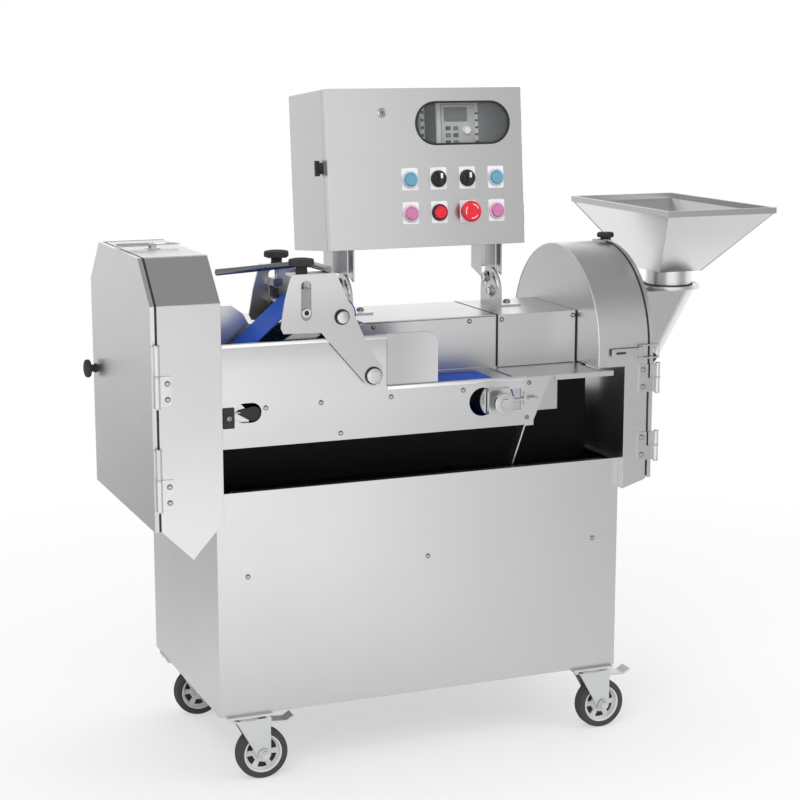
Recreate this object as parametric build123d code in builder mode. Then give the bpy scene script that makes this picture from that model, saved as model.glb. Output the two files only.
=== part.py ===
from math import atan2, cos, degrees, hypot, radians, sin, sqrt, tan
import os

from build123d import *

os.makedirs("parts", exist_ok=True)

# Driving sizes in millimetres. Heights are above the ground, x is from the cabinet's left
# side and y from its front, until the datum below moves them to the middle of the machine.

# Sheet metal and running clearances.
sheet = 2.5
seat_gap = 0.3
running_clearance = 0.05

# Base cabinet.
cabinet_width = 830
cabinet_depth = 460
cabinet_height = 429
castor_height = 134
cabinet_flange = 30
cabinet_hem = 12
tube_size = 40
deck_drop = 17
deck_rim = 10
stand_setback = 32

# Castors.
wheel_radius = 50
wheel_width = 28
tyre_thickness = 10
castor_trail = 28
front_castor_y = 20
rear_castor_inset = 62
castor_inset = 57
axle_radius = 6
castor_plate_thickness = 4
fork_sheet = 3

# Left head, which holds the sickle knife.
left_head_width = 116
left_head_front = -48
left_head_rear = 401
left_head_top = 998.5
left_head_chamfer = 77
left_head_bottom = 516
left_chute_tip = 459
door_gap = 4
door_thickness = 8
knob_reach = 22
knife_axis_y = 176
knife_axis_z = 755
knife_radius = 205
knife_thickness = 4
knife_shaft_radius = 14

# Feed channel between the two heads.
plate_front = -40
plate_sheet = 2.5
plate_bottom = 655
tall_plate_top = 846
tall_plate_end = 319
low_plate_top = 750
low_plate_reach = 56
channel_rear = 80
belt_top = 743
belt_thickness = 3
feed_roller_radius = 34
drive_roller_x = 20
tail_roller_x = 546
low_plate_end = tail_roller_x + low_plate_reach
belt_front = -33
belt_width = 106

# Press head over the feed belt.
press_plate_front = -50
press_plate_rear = 137
press_sheet = 4
press_pivot_x = 289
press_pivot_z = 773
nose_roller_x = 37.5
nose_roller_z = 782.5
nose_roller_radius = 24
tension_roller_x = 160
tension_roller_z = 896
tension_roller_radius = 17
press_roller_x = 228
press_roller_z = 885
press_roller_radius = 32
press_belt_thickness = 2.5
press_belt_front = -30
press_belt_width = 96
press_shaft_radius = 8
press_top = 966
knob_inset = 25

# Rear housing and its covers.
housing_rear = 285
housing_top = 851.5
housing_end_inset = 97
side_cover_start = low_plate_end - 2
side_cover_bottom = 748
well_start = 60
well_end = 320
well_depth = 68
cover_sheet = 2.5

# Right head, which holds the slicing disc.
right_face_inset = 58
right_face_x = cabinet_width - right_face_inset
housing_end = cabinet_width - housing_end_inset
right_chamber_x = cabinet_width
right_chamber_width = 51
right_front = -19
right_radius = 192
right_axis_z = 784
right_bottom = 504
right_bottom_slope = 16
right_gap = 4
right_door_thickness = 8
slicer_disc_radius = 168
slicer_disc_thickness = 8
slicer_shaft_radius = 15

# Hopper and inlet chute on the right head's door.
hopper_reach = 217
hopper_x = right_chamber_x + hopper_reach
hopper_y = 195
neck_radius = 48
neck_bottom = 866
neck_top = 908
hopper_top = 1048
hopper_length_y = 410
hopper_width_x = 250
hopper_hem = 12
hopper_shift = 5
collar_top = 877
collar_rim_radius = 64
chute_bottom = 545

# Delivery shelf.
shelf_top = 747
shelf_left = low_plate_end - 16
shelf_front = -37.5
shelf_sheet = 3
shelf_lip = 10

# Control box on its two tilting brackets.
box_width = 415
box_height = 310
box_depth = 215
box_left = 295
box_front = 190
box_bottom = 977
box_tilt = 5.3
box_door_thickness = 18
box_sheet = 2
bracket_x = 652
bracket_sheet = 3
tilt_axis_y = 226
tilt_axis_z = 878
bracket_radius = 48

# Controls on the box door, measured across from its middle and up from its bottom edge.
control_columns = (-38, 23, 85, 147)
upper_row = 133
lower_row = 67
bezel_radius = 15.5
button_radius = 13
button_reach = 11
button_travel = 4
mushroom_radius = 21
window_left = -21
window_length = 202
window_low = 200
window_rise = 83

# The datum: the middle of the machine's box, on the ground.
cabinet_top = castor_height + cabinet_height
reach_left = left_head_width + door_gap + door_thickness + knob_reach
reach_right = hopper_x + hopper_width_x / 2 + hopper_shift
hinge_barrel_radius = 5
hinge_axis_drop = 6
tail_shaft_reach = 80
datum_x = (reach_left - reach_right) / 2
datum_y = (tail_shaft_reach - cabinet_depth) / 2


# Working planes, whose two axes read in the machine's own numbers.
def facing_front(y):
    """A plane that is read in x and height, with its normal towards the front."""
    return Plane(origin=(datum_x, datum_y + y, 0), x_dir=(1, 0, 0), z_dir=(0, -1, 0))


def facing_right(x):
    """A plane that is read in y and height, with its normal towards the right."""
    return Plane(origin=(datum_x + x, datum_y, 0), x_dir=(0, 1, 0), z_dir=(1, 0, 0))


def facing_up(z):
    """A plane that is read in x and y, with its normal upwards."""
    return Plane(origin=(datum_x, datum_y, z))


def slab(x, y, z, mode=Mode.ADD):
    """A block between two values of x, two of y and two of height."""
    middle = (datum_x + sum(x) / 2, datum_y + sum(y) / 2, sum(z) / 2)
    with Locations(middle):
        Box(x[1] - x[0], y[1] - y[0], z[1] - z[0], mode=mode)


def bar(plane, at, radius, length, mode=Mode.ADD):
    """A round bar that starts at a point of a plane and runs along its normal, or behind it."""
    along = Align.MIN if length > 0 else Align.MAX
    with Locations(plane.location * Pos(at[0], at[1])):
        Cylinder(radius, abs(length), align=(Align.CENTER, Align.CENTER, along), mode=mode)


def tube(plane, at, outer, bore, length):
    """A round bar with a through hole."""
    bar(plane, at, outer, length)
    bar(plane, at, bore, length, mode=Mode.SUBTRACT)


def outline(plane, points):
    """A flat face with straight edges on a plane."""
    with BuildSketch(plane) as face:
        with BuildLine():
            Polyline(*points, close=True)
        make_face()
    return face.sketch


def panel(plane, points, thickness, mode=Mode.ADD):
    """A flat plate behind a plane, with straight edges."""
    extrude(outline(plane, points), amount=-thickness, mode=mode)


def pan_head(plane, at, radius):
    """A low round screw head that sits on a plane."""
    bar(plane, at, radius, radius * 0.55)


def hex_head(plane, at, across, height):
    """A hexagon bolt head that sits on a plane."""
    with BuildSketch(plane) as head:
        with Locations(at):
            RegularPolygon(across / sqrt(3), 6)
    extrude(head.sketch, amount=height)


def keep(piece, name):
    """Label a finished piece and write it to its own file."""
    piece.part.label = name
    export_step(piece.part, f"parts/{name}.step")


# Base cabinet: folded shell, front panel, inner frame, black deck.
with BuildPart() as cabinet_shell:
    slab((0, cabinet_width), (sheet, cabinet_depth), (castor_height, cabinet_top))
    slab((sheet, cabinet_width - sheet), (sheet * 2, cabinet_depth - sheet),
         (castor_height + sheet, cabinet_top), mode=Mode.SUBTRACT)
    slab((cabinet_flange, cabinet_width - cabinet_flange), (sheet, sheet * 2),
         (castor_height + cabinet_flange, cabinet_top), mode=Mode.SUBTRACT)
    rear_inside = cabinet_depth - sheet
    slab((sheet, sheet + cabinet_hem), (sheet * 2, rear_inside), (cabinet_top - sheet, cabinet_top))
    slab((cabinet_width - sheet - cabinet_hem, cabinet_width - sheet), (sheet * 2, rear_inside),
         (cabinet_top - sheet, cabinet_top))
    slab((sheet, cabinet_width - sheet), (rear_inside - cabinet_hem, rear_inside),
         (cabinet_top - sheet, cabinet_top))
keep(cabinet_shell, "cabinet_shell")

with BuildPart() as front_panel:
    slab((0, cabinet_width), (0, sheet), (castor_height, cabinet_top))
    slab((cabinet_flange + 1, cabinet_width - cabinet_flange - 1), (sheet, sheet + cabinet_hem),
         (cabinet_top - sheet, cabinet_top))
keep(front_panel, "front_panel")

frame_left = sheet + 3
frame_right = cabinet_width - frame_left
frame_front = sheet * 2 + 3
frame_rear = cabinet_depth - sheet - 3
deck_bottom = cabinet_top - deck_drop
deck_top = deck_bottom + sheet
stand_right = cabinet_width - sheet - cabinet_hem - 3
plate_floor = plate_bottom
stand_front = channel_rear + stand_setback
stand_rear = housing_rear - 5
with BuildPart() as inner_frame:
    post_top = deck_bottom
    for post_x in (frame_left, frame_right - tube_size):
        for post_y in (frame_front, frame_rear - tube_size):
            slab((post_x, post_x + tube_size), (post_y, post_y + tube_size),
                 (castor_height + sheet, post_top))
    for rail_y in (frame_front, frame_rear - tube_size):
        slab((frame_left, frame_right), (rail_y, rail_y + tube_size), (post_top - tube_size, post_top))
    for rail_x in (frame_left, frame_right - tube_size):
        slab((rail_x, rail_x + tube_size), (frame_front, frame_rear), (post_top - tube_size, post_top))
    slab((frame_left, frame_right), (frame_front, frame_rear), (deck_bottom, deck_top))
    for rim in ((frame_left, frame_left + sheet), (frame_right - sheet, frame_right)):
        slab(rim, (frame_front, frame_rear), (deck_bottom, deck_top + deck_rim))
    slab((frame_left, frame_right), (frame_rear - sheet, frame_rear), (deck_bottom, deck_top + deck_rim))
    # The stand that carries the rear housing, a welded box of black sheet.
    slab((30, stand_right), (stand_front, stand_rear), (deck_top, plate_floor))
    slab((30 + sheet, stand_right - sheet), (stand_front + sheet, stand_rear - sheet),
         (deck_top, plate_floor), mode=Mode.SUBTRACT)
    # Its front wall is taller beside the right head, behind the shelf.
    slab((housing_end, stand_right), (stand_front, stand_front + sheet), (plate_floor, shelf_top - shelf_sheet))
keep(inner_frame, "inner_frame")

# Castors: bolted plates, swivel forks, wheels, tyres and front brake pedals.
castor_left_x = castor_inset
castor_right_x = cabinet_width - castor_inset + 7
castor_rear_y = cabinet_depth - rear_castor_inset
castors = {
    "front_left": (castor_left_x, front_castor_y),
    "front_right": (castor_right_x, front_castor_y),
    "rear_left": (castor_left_x - 15, castor_rear_y),
    "rear_right": (castor_right_x, castor_rear_y),
}
plate_half_x = 44
plate_half_y = 29
plate_under = castor_height - castor_plate_thickness
race_height = 8
race_radius = 24
fork_top = plate_under - race_height - seat_gap
fork_gap = 1.5
fork_half = wheel_width / 2 + fork_gap
kingpin_radius = 8
pedal_trail = 35
pedal_drop = 12
pedal_pin_radius = 3
with BuildPart() as castor_plates:
    for castor_x, castor_y in castors.values():
        slab((castor_x - plate_half_x, castor_x + plate_half_x),
             (castor_y - plate_half_y, castor_y + plate_half_y), (plate_under, castor_height))
        bar(facing_up(plate_under), (castor_x, castor_y), race_radius, -race_height)
        bar(facing_up(plate_under), (castor_x, castor_y), kingpin_radius, -race_height - 8)
keep(castor_plates, "castor_plates")

for corner, (castor_x, castor_y) in castors.items():
    wheel_x = castor_x + castor_trail
    with BuildPart() as castor_fork:
        crown = fork_top - 14
        slab((castor_x - 26, castor_x + 44), (castor_y - fork_half - fork_sheet, castor_y + fork_half + fork_sheet),
             (fork_top - fork_sheet, fork_top))
        bar(facing_up(fork_top - fork_sheet), (castor_x, castor_y), kingpin_radius + running_clearance,
            fork_sheet, mode=Mode.SUBTRACT)
        for side_front in (castor_y - fork_half - fork_sheet, castor_y + fork_half):
            leg = facing_front(side_front)
            panel(leg, [(castor_x - 26, fork_top), (castor_x + 44, fork_top), (wheel_x + 14, crown - 8),
                        (wheel_x + 14, wheel_radius), (wheel_x - 14, wheel_radius)], fork_sheet)
            bar(leg, (wheel_x, wheel_radius), 14, -fork_sheet)
        axle_half = fork_half + fork_sheet + 3
        bar(facing_front(castor_y - axle_half), (wheel_x, wheel_radius), axle_radius, -2 * axle_half)
        hex_head(facing_front(castor_y - fork_half - fork_sheet), (wheel_x, wheel_radius), 15, 5)
        if corner.startswith("front"):
            bar(facing_front(castor_y - fork_half - fork_sheet), (castor_x + pedal_trail, fork_top - pedal_drop),
                pedal_pin_radius, -2 * (fork_half + fork_sheet))
    keep(castor_fork, f"castor_fork_{corner}")

    rim_radius = wheel_radius - tyre_thickness
    wheel_face = facing_front(castor_y - wheel_width / 2)
    with BuildPart() as castor_wheel:
        bar(wheel_face, (wheel_x, wheel_radius), wheel_radius, -wheel_width)
        fillet(castor_wheel.edges().filter_by(GeomType.CIRCLE), 3)
        for face_offset in (0, -(wheel_width - 6)):
            with BuildSketch(wheel_face.offset(face_offset)) as dish:
                with Locations((wheel_x, wheel_radius)):
                    Circle(rim_radius)
                    Circle(13, mode=Mode.SUBTRACT)
            extrude(dish.sketch, amount=-6, mode=Mode.SUBTRACT)
        with BuildSketch(wheel_face) as windows:
            with Locations((wheel_x, wheel_radius)):
                with PolarLocations(26, 6):
                    with Locations(Location((0, 0, 0), (0, 0, 90))):
                        SlotOverall(15, 6)
        extrude(windows.sketch, amount=-wheel_width, mode=Mode.SUBTRACT)
        bar(wheel_face, (wheel_x, wheel_radius), axle_radius + running_clearance, -wheel_width, mode=Mode.SUBTRACT)
    keep(castor_wheel, f"castor_wheel_{corner}")

for corner in ("front_left", "front_right"):
    castor_x, castor_y = castors[corner]
    pedal_x = castor_x + pedal_trail
    pedal_z = fork_top - pedal_drop
    pedal_half = fork_half - 1
    with BuildPart() as brake_pedal:
        pedal_face = facing_front(castor_y - pedal_half)
        bar(pedal_face, (pedal_x, pedal_z), 6.5, -2 * pedal_half)
        panel(pedal_face, [(pedal_x, pedal_z), (pedal_x, pedal_z + 4), (pedal_x + 40, pedal_z + 1),
                           (pedal_x + 54, pedal_z + 9), (pedal_x + 56, pedal_z + 6), (pedal_x + 41, pedal_z - 3)],
              2 * pedal_half)
        bar(pedal_face, (pedal_x, pedal_z), pedal_pin_radius + running_clearance, -2 * pedal_half,
            mode=Mode.SUBTRACT)
    keep(brake_pedal, f"brake_pedal_{corner}")

# Left head: eight-sided sheet housing with a V-shaped skirt.
head_front = left_head_front
head_rear = left_head_rear
head_bottom = left_head_bottom
head_profile = [(head_front, head_bottom), (head_front, left_head_top - left_head_chamfer),
                (head_front + left_head_chamfer, left_head_top), (head_rear - left_head_chamfer, left_head_top),
                (head_rear, left_head_top - left_head_chamfer), (head_rear, head_bottom)]
skirt_points = [(-left_head_width, head_bottom), (-left_head_width / 2, left_chute_tip), (0, head_bottom + 8)]
inlet_front = plate_front + plate_sheet
inlet_rear = channel_rear - sheet
inlet_low = belt_top - belt_thickness * 2 - feed_roller_radius * 2 - 4
inlet_high = 880
with BuildPart() as left_head_housing:
    extrude(outline(facing_right(-left_head_width), head_profile), amount=left_head_width)
    with BuildSketch(facing_right(-left_head_width)) as cavity:
        add(outline(Plane.XY, head_profile))
        offset(amount=-sheet, mode=Mode.REPLACE)
    extrude(cavity.sketch, amount=left_head_width - sheet, mode=Mode.SUBTRACT)
    slab((-left_head_width, -sheet), (head_front + sheet, head_rear - sheet),
         (head_bottom, head_bottom + sheet), mode=Mode.SUBTRACT)
    for skirt_y in (head_front, head_rear - sheet):
        panel(facing_front(skirt_y), skirt_points, sheet)
    slab((-sheet, 0), (inlet_front, inlet_rear), (inlet_low, inlet_high), mode=Mode.SUBTRACT)
    bar(facing_right(-sheet - 1), (knife_axis_y, knife_axis_z), knife_shaft_radius + running_clearance,
        sheet + 2, mode=Mode.SUBTRACT)
    tube(facing_right(-sheet - 14), (knife_axis_y, knife_axis_z), 34, knife_shaft_radius + running_clearance, 14)
keep(left_head_housing, "left_head_housing")

# The right head's outline is needed for both heads' gaskets and hinges.
right_middle_y = right_front + right_radius
right_top = right_axis_z + right_radius
right_gap_x = right_chamber_x + right_chamber_width

door_inner_x = -left_head_width - door_gap
door_outer_x = door_inner_x - door_thickness
# Lift-off hinges. The lower half of each barrel stays on the head, the upper half lifts with the door.
left_hinge_x = door_inner_x + 1
left_hinge_y = head_front - hinge_axis_drop
left_hinges = ((556, 666), (743, 852))
right_hinge_x = right_gap_x + right_gap + right_door_thickness + 7
right_hinge_y = right_front - hinge_axis_drop
right_hinges = ((559, 616), (696, 752))
leaf_sheet = 2.5
barrel_gap = 0.6
pin_radius = 2.5
with BuildPart() as left_door:
    extrude(outline(facing_right(door_outer_x), head_profile), amount=door_thickness)
    with BuildSketch(facing_right(door_outer_x + sheet)) as pan:
        add(outline(Plane.XY, head_profile))
        offset(amount=-sheet, mode=Mode.REPLACE)
    extrude(pan.sketch, amount=door_thickness, mode=Mode.SUBTRACT)
    for low, high in left_hinges:
        half = (low + high) / 2 + barrel_gap
        bar(facing_up(half), (left_hinge_x, left_hinge_y), hinge_barrel_radius, high - half)
        bar(facing_up(low + 6), (left_hinge_x, left_hinge_y), pin_radius - running_clearance, half - low)
        slab((door_outer_x, left_hinge_x), (head_front - leaf_sheet, head_front), (half, high))
    # The keeper that the top latch hooks over.
    slab((door_outer_x, door_outer_x + 3), (160, 190), (left_head_top - 1, left_head_top + 5))
keep(left_door, "left_door")

# Gaskets that close the gap between each head and its door.


def d_profile(plane, bottom, inset=0):
    """The right head's outline: a half-round top on two straight sides."""
    radius = right_radius - inset
    with BuildSketch(plane) as face:
        with Locations((right_middle_y, right_axis_z)):
            Circle(radius)
        with Locations((right_middle_y, (bottom + right_axis_z) / 2)):
            Rectangle(2 * radius, right_axis_z - bottom)
    return face.sketch


gasket_width = 9
gasket_inset = 3
with BuildPart() as door_gaskets:
    gasket_plane = facing_right(-left_head_width)
    for inset, mode in ((gasket_inset, Mode.ADD), (gasket_inset + gasket_width, Mode.SUBTRACT)):
        with BuildSketch(gasket_plane) as ring:
            add(outline(Plane.XY, head_profile))
            offset(amount=-inset, mode=Mode.REPLACE)
        extrude(ring.sketch, amount=-(door_gap - seat_gap), mode=mode)
    right_plane = facing_right(right_gap_x)
    gasket_bottom = right_bottom + right_bottom_slope + 6
    extrude(d_profile(right_plane, gasket_bottom, gasket_inset), amount=right_gap - seat_gap)
    extrude(d_profile(right_plane, gasket_bottom + gasket_width, gasket_inset + gasket_width),
            amount=right_gap, mode=Mode.SUBTRACT)
keep(door_gaskets, "door_gaskets")

door_knob_y = head_rear - 18
door_knob_z = 745
with BuildPart() as left_door_knob:
    bar(facing_right(door_outer_x), (door_knob_y, door_knob_z), 8, -knob_reach + 12)
    bar(facing_right(door_outer_x - knob_reach), (door_knob_y, door_knob_z), 18, 12)
    fillet(left_door_knob.edges().filter_by(GeomType.CIRCLE).sort_by(Axis.X)[0], 4)
keep(left_door_knob, "left_door_knob")

# Draw latches: a base riveted to the head and a lever that carries the wire bail.
latch_lift = 6
left_latch_x = -62
left_latch_y = 175
right_latch_z = 778
right_latch_x = right_gap_x - 22
right_latch_y = right_front - latch_lift
# Fixed hinge leaves, latch bases and the screws of the plates and covers.
screw_points = {
    0: ((58, 402), (420, 404), (775, 404)),
    plate_front: ((84, 726), (190, 728), (328, 729), (474, 731), (228, 668)),
    channel_rear: ((340, 842), (540, 842)),
    channel_rear - 2: ((608, 842), (764, 842)),
}
with BuildPart() as head_fittings:
    for low, high in left_hinges:
        half = (low + high) / 2
        tube(facing_up(low), (left_hinge_x, left_hinge_y), hinge_barrel_radius, pin_radius, half - low)
        slab((left_hinge_x, -92), (head_front - leaf_sheet, head_front), (low, half))
        for screw_z in (low + 13, half - 13):
            pan_head(facing_front(head_front - leaf_sheet), (-100, screw_z), 4.5)
    for low, high in right_hinges:
        half = (low + high) / 2
        tube(facing_up(low), (right_hinge_x, right_hinge_y), hinge_barrel_radius, pin_radius, half - low)
        slab((right_gap_x - 20, right_hinge_x), (right_front - leaf_sheet, right_front), (low, half))
        slab((right_gap_x - 20, right_gap_x), (right_front - leaf_sheet, right_front), (half, high))
        for screw_z in (low + 11, high - 11):
            pan_head(facing_front(right_front - leaf_sheet), (right_gap_x - 11, screw_z), 5)
    slab((left_latch_x - 12, left_latch_x + 12), (left_latch_y - 12, left_latch_y + 12),
         (left_head_top, left_head_top + 1.5))
    for ear in (left_latch_y - 11, left_latch_y + 9):
        slab((left_latch_x - 5, left_latch_x + 5), (ear, ear + 2), (left_head_top, left_head_top + latch_lift + 4))
    slab((right_latch_x - 14, right_latch_x + 12), (right_front - 1.5, right_front),
         (right_latch_z - 12, right_latch_z + 12))
    for ear in (right_latch_z - 11, right_latch_z + 9):
        slab((right_latch_x - 5, right_latch_x + 5), (right_latch_y - 4, right_front), (ear, ear + 2))
    # The wire bails, which hook over the doors' keepers.
    left_bail_end = door_outer_x - 4
    left_bail = (left_head_top + latch_lift + 1, left_head_top + latch_lift + 3.4)
    for wire in (left_latch_y - 14, left_latch_y + 11):
        slab((left_bail_end, left_latch_x + 4), (wire, wire + 2.4), left_bail)
        slab((left_latch_x - 5, left_latch_x + 4), (wire, wire + 2.4), (left_head_top, left_bail[1]))
    slab((left_bail_end, left_bail_end + 2.4), (left_latch_y - 14, left_latch_y + 13.4), left_bail)
    right_bail = (right_latch_y - 2.4, right_latch_y)
    right_bail_end = right_gap_x + right_gap + right_door_thickness + 9
    for wire in (right_latch_z - 14, right_latch_z + 11.6):
        slab((right_latch_x - 4, right_bail_end), right_bail, (wire, wire + 2.4))
        slab((right_latch_x - 4, right_latch_x + 5), (right_bail[0], right_front), (wire, wire + 2.4))
    slab((right_bail_end - 2.4, right_bail_end), right_bail, (right_latch_z - 14, right_latch_z + 14))
    for face_y, heads in screw_points.items():
        for head in heads:
            pan_head(facing_front(face_y), head, 4)
keep(head_fittings, "head_fittings")

with BuildPart() as left_latch_lever:
    axis_z = left_head_top + latch_lift
    bar(facing_front(left_latch_y - 8.7), (left_latch_x, axis_z), 3, -17.4)
    slab((left_latch_x, left_latch_x + 50), (left_latch_y - 8, left_latch_y + 8), (axis_z + 1, axis_z + 3))
keep(left_latch_lever, "left_latch_lever")

with BuildPart() as right_latch_lever:
    bar(facing_up(right_latch_z - 8.7), (right_latch_x, right_latch_y), 3, 17.4)
    slab((right_latch_x - 62, right_latch_x), (right_latch_y - 3, right_latch_y - 1),
         (right_latch_z - 8, right_latch_z + 8))
keep(right_latch_lever, "right_latch_lever")

# Sickle knife on its shaft, which runs back to the motor behind the channel.
motor_start = well_end + 20
with BuildPart() as sickle_knife:
    knife_plane = facing_right(-46)
    with BuildSketch(Plane.XY) as sickle:
        with Locations((knife_radius / 2, 0)):
            Circle(knife_radius / 2)
        with Locations((knife_radius / 2 - 14, 32)):
            Circle(knife_radius / 2 - 9, mode=Mode.SUBTRACT)
    for turn in (0, 180):
        blade = knife_plane.location * Pos(knife_axis_y, knife_axis_z) * Rot(0, 0, turn) * sickle.sketch
        extrude(blade, amount=knife_thickness, dir=(1, 0, 0))
    bar(facing_right(-58), (knife_axis_y, knife_axis_z), 36, 34)
    bar(facing_right(-70), (knife_axis_y, knife_axis_z), 12, 12)
    bar(facing_right(-24), (knife_axis_y, knife_axis_z), knife_shaft_radius, motor_start + 24)
keep(sickle_knife, "sickle_knife")

# Feed conveyor: front plate with its hemmed lips, bed, belt and rollers.
roller_z = belt_top - belt_thickness - feed_roller_radius
keyhole_x = tail_roller_x - 32
keyhole_radius = 27
slot_height = 40
take_up_left = 26
take_up_length = 50
take_up_thickness = 8
lip_height = 9
lip_reach = 4
feed_shaft_radius = 10
feed_stub_radius = 6
guide_start = 300
guide_end = 421
pivot_reach = press_plate_front * -1 + plate_front + plate_sheet + 7
with BuildPart() as conveyor_front_plate:
    panel(facing_front(plate_front),
          [(0, plate_bottom), (low_plate_end, plate_bottom), (low_plate_end, low_plate_top),
           (tall_plate_end, low_plate_top), (tall_plate_end, tall_plate_top), (0, tall_plate_top)], plate_sheet)
    # Rolled hems along both top edges and the foot.
    slab((0, tall_plate_end), (plate_front - lip_reach, plate_front), (tall_plate_top - lip_height, tall_plate_top))
    slab((tall_plate_end, low_plate_end), (plate_front - lip_reach, plate_front),
         (low_plate_top - lip_height, low_plate_top))
    # The curved guide behind the low part.
    with BuildSketch(facing_front(plate_front + plate_sheet)) as guide:
        with Locations(((guide_start + guide_end) / 2, (belt_top - belt_thickness + tall_plate_top) / 2)):
            Rectangle(guide_end - guide_start, tall_plate_top - belt_top + belt_thickness)
        fillet(guide.vertices().group_by(Axis.X)[-1].sort_by(Axis.Z)[-1], (tall_plate_top - belt_top) / 4)
    extrude(guide.sketch, amount=-plate_sheet)
    with BuildSketch(facing_front(plate_front)) as openings:
        with Locations((keyhole_x, roller_z)):
            Circle(keyhole_radius)
        with Locations((keyhole_x + 40, roller_z)):
            Rectangle(80, slot_height)
        with Locations((take_up_left + take_up_length / 2, roller_z + 13)):
            SlotOverall(take_up_length, slot_height - 4)
        with Locations((drive_roller_x, roller_z)):
            Circle(feed_stub_radius + running_clearance)
        with Locations((press_pivot_x, press_pivot_z)):
            Circle(press_shaft_radius)
    extrude(openings.sketch, amount=-plate_sheet, mode=Mode.SUBTRACT)
    # The stud that the press head swings on.
    bar(facing_front(plate_front + plate_sheet), (press_pivot_x, press_pivot_z), press_shaft_radius, pivot_reach)
    bar(facing_front(press_plate_front - seat_gap), (press_pivot_x, press_pivot_z), 14, 7)
    # The take-up block, which slides in the keyhole and carries the tail roller.
    block = facing_front(plate_front)
    slab((tail_roller_x - 22, tail_roller_x + 22), (plate_front - take_up_thickness, plate_front),
         (roller_z - 24, roller_z + 24))
    bar(block, (tail_roller_x, roller_z), feed_shaft_radius + running_clearance, take_up_thickness,
        mode=Mode.SUBTRACT)
    bar(facing_right(tail_roller_x + 20), (plate_front - take_up_thickness / 2, roller_z), 3, 62)
    slab((low_plate_end - 5, low_plate_end), (plate_front - take_up_thickness, plate_front),
         (roller_z - 12, roller_z + 12))
keep(conveyor_front_plate, "conveyor_front_plate")

# Channel bed: the rear plate, the plate under the belt's top run and the floor.
bed_end = low_plate_end
plate_inside = (plate_front + plate_sheet, channel_rear - sheet)
bed_top = roller_z + feed_roller_radius
rear_shaft_end = channel_rear + 15
with BuildPart() as conveyor_bed:
    panel(facing_front(channel_rear - sheet),
          [(0, plate_bottom), (bed_end - 3, plate_bottom), (bed_end - 3, low_plate_top), (92, low_plate_top),
           (92, 861), (80, 882), (58, 898), (0, 898)], sheet)
    slab((drive_roller_x + 44, tail_roller_x - 44), plate_inside, (bed_top - sheet, bed_top))
    slab((0, bed_end), plate_inside, (plate_bottom, plate_bottom + sheet))
    for roller_x, hole in ((drive_roller_x, feed_shaft_radius), (tail_roller_x, feed_stub_radius)):
        bar(facing_front(channel_rear), (roller_x, roller_z), hole + running_clearance, sheet, mode=Mode.SUBTRACT)
keep(conveyor_bed, "conveyor_bed")

belt_inner = feed_roller_radius + seat_gap
belt_span = tail_roller_x - drive_roller_x
belt_middle = ((drive_roller_x + tail_roller_x) / 2, roller_z)
with BuildPart() as feed_belt:
    for radius, mode in ((belt_inner + belt_thickness - seat_gap, Mode.ADD), (belt_inner, Mode.SUBTRACT)):
        with BuildSketch(facing_front(belt_front)) as loop:
            with Locations(belt_middle):
                SlotCenterToCenter(belt_span, 2 * radius)
        extrude(loop.sketch, amount=-belt_width, mode=mode)
keep(feed_belt, "feed_belt")

roller_front = facing_front(belt_front - 1)
with BuildPart() as drive_roller:
    bar(roller_front, (drive_roller_x, roller_z), feed_roller_radius, -(belt_width + 2))
    bar(facing_front(plate_front), (drive_roller_x, roller_z), feed_stub_radius, -20)
    bar(facing_front(0), (drive_roller_x, roller_z), feed_shaft_radius, -rear_shaft_end)
keep(drive_roller, "drive_roller")

with BuildPart() as tail_roller:
    bar(roller_front, (tail_roller_x, roller_z), feed_roller_radius, -(belt_width + 2))
    collar_face = facing_front(-tail_shaft_reach + 6)
    bar(collar_face, (tail_roller_x, roller_z), feed_shaft_radius, -60)
    bar(collar_face, (tail_roller_x, roller_z), 20, -8)
    hex_head(collar_face, (tail_roller_x, roller_z), 17, 6)
    bar(facing_front(0), (tail_roller_x, roller_z), feed_stub_radius, -(channel_rear - seat_gap))
    with Locations(roller_front.location * Pos(tail_roller_x, roller_z)):
        with PolarLocations(feed_roller_radius - 9, 8):
            Box(9, 5, 12, mode=Mode.SUBTRACT)
keep(tail_roller, "tail_roller")

# Press head: two outer plates, ties, three rollers with a belt and two adjusting knobs.
press_outline = [(133, press_top), (217, press_top), (232, 934), (257, 877), (271, 846), (284, 819), (305, 790),
                 (309, 773), (303, 758), (289, 753), (275, 758), (188, 858), (116, 860), (111, 870), (120, 920)]
slot_low = 882
slot_high = 954
slot_width = 19
adjuster_x = tension_roller_x
press_rear_face = press_plate_rear + press_sheet
tie_points = ((178, 866), (205, 948))
tie_radius = 6
front_adjuster_y = press_plate_front + knob_inset
rear_adjuster_y = press_rear_face - knob_inset + 1
adjuster_radius = 4
adjuster_hole = adjuster_radius + running_clearance
flange_depth = 35


def press_plate(front_y, flange_from, screw_y):
    """One side plate of the press head, with its flange along the top."""
    panel(facing_front(front_y), press_outline, press_sheet)
    slab((133, 217), (flange_from, flange_from + flange_depth), (press_top - press_sheet, press_top))
    with BuildSketch(facing_front(front_y)) as openings:
        with Locations((adjuster_x, (slot_low + slot_high) / 2)):
            SlotOverall(slot_high - slot_low, slot_width, rotation=90)
        with Locations((press_roller_x, press_roller_z), (press_pivot_x, press_pivot_z)):
            Circle(press_shaft_radius + running_clearance)
    extrude(openings.sketch, amount=-press_sheet, mode=Mode.SUBTRACT)
    bar(facing_up(press_top), (adjuster_x, screw_y), adjuster_hole, -press_sheet, mode=Mode.SUBTRACT)


with BuildPart() as press_front_plate:
    press_plate(press_plate_front, press_plate_front, front_adjuster_y)
keep(press_front_plate, "press_front_plate")

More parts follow.
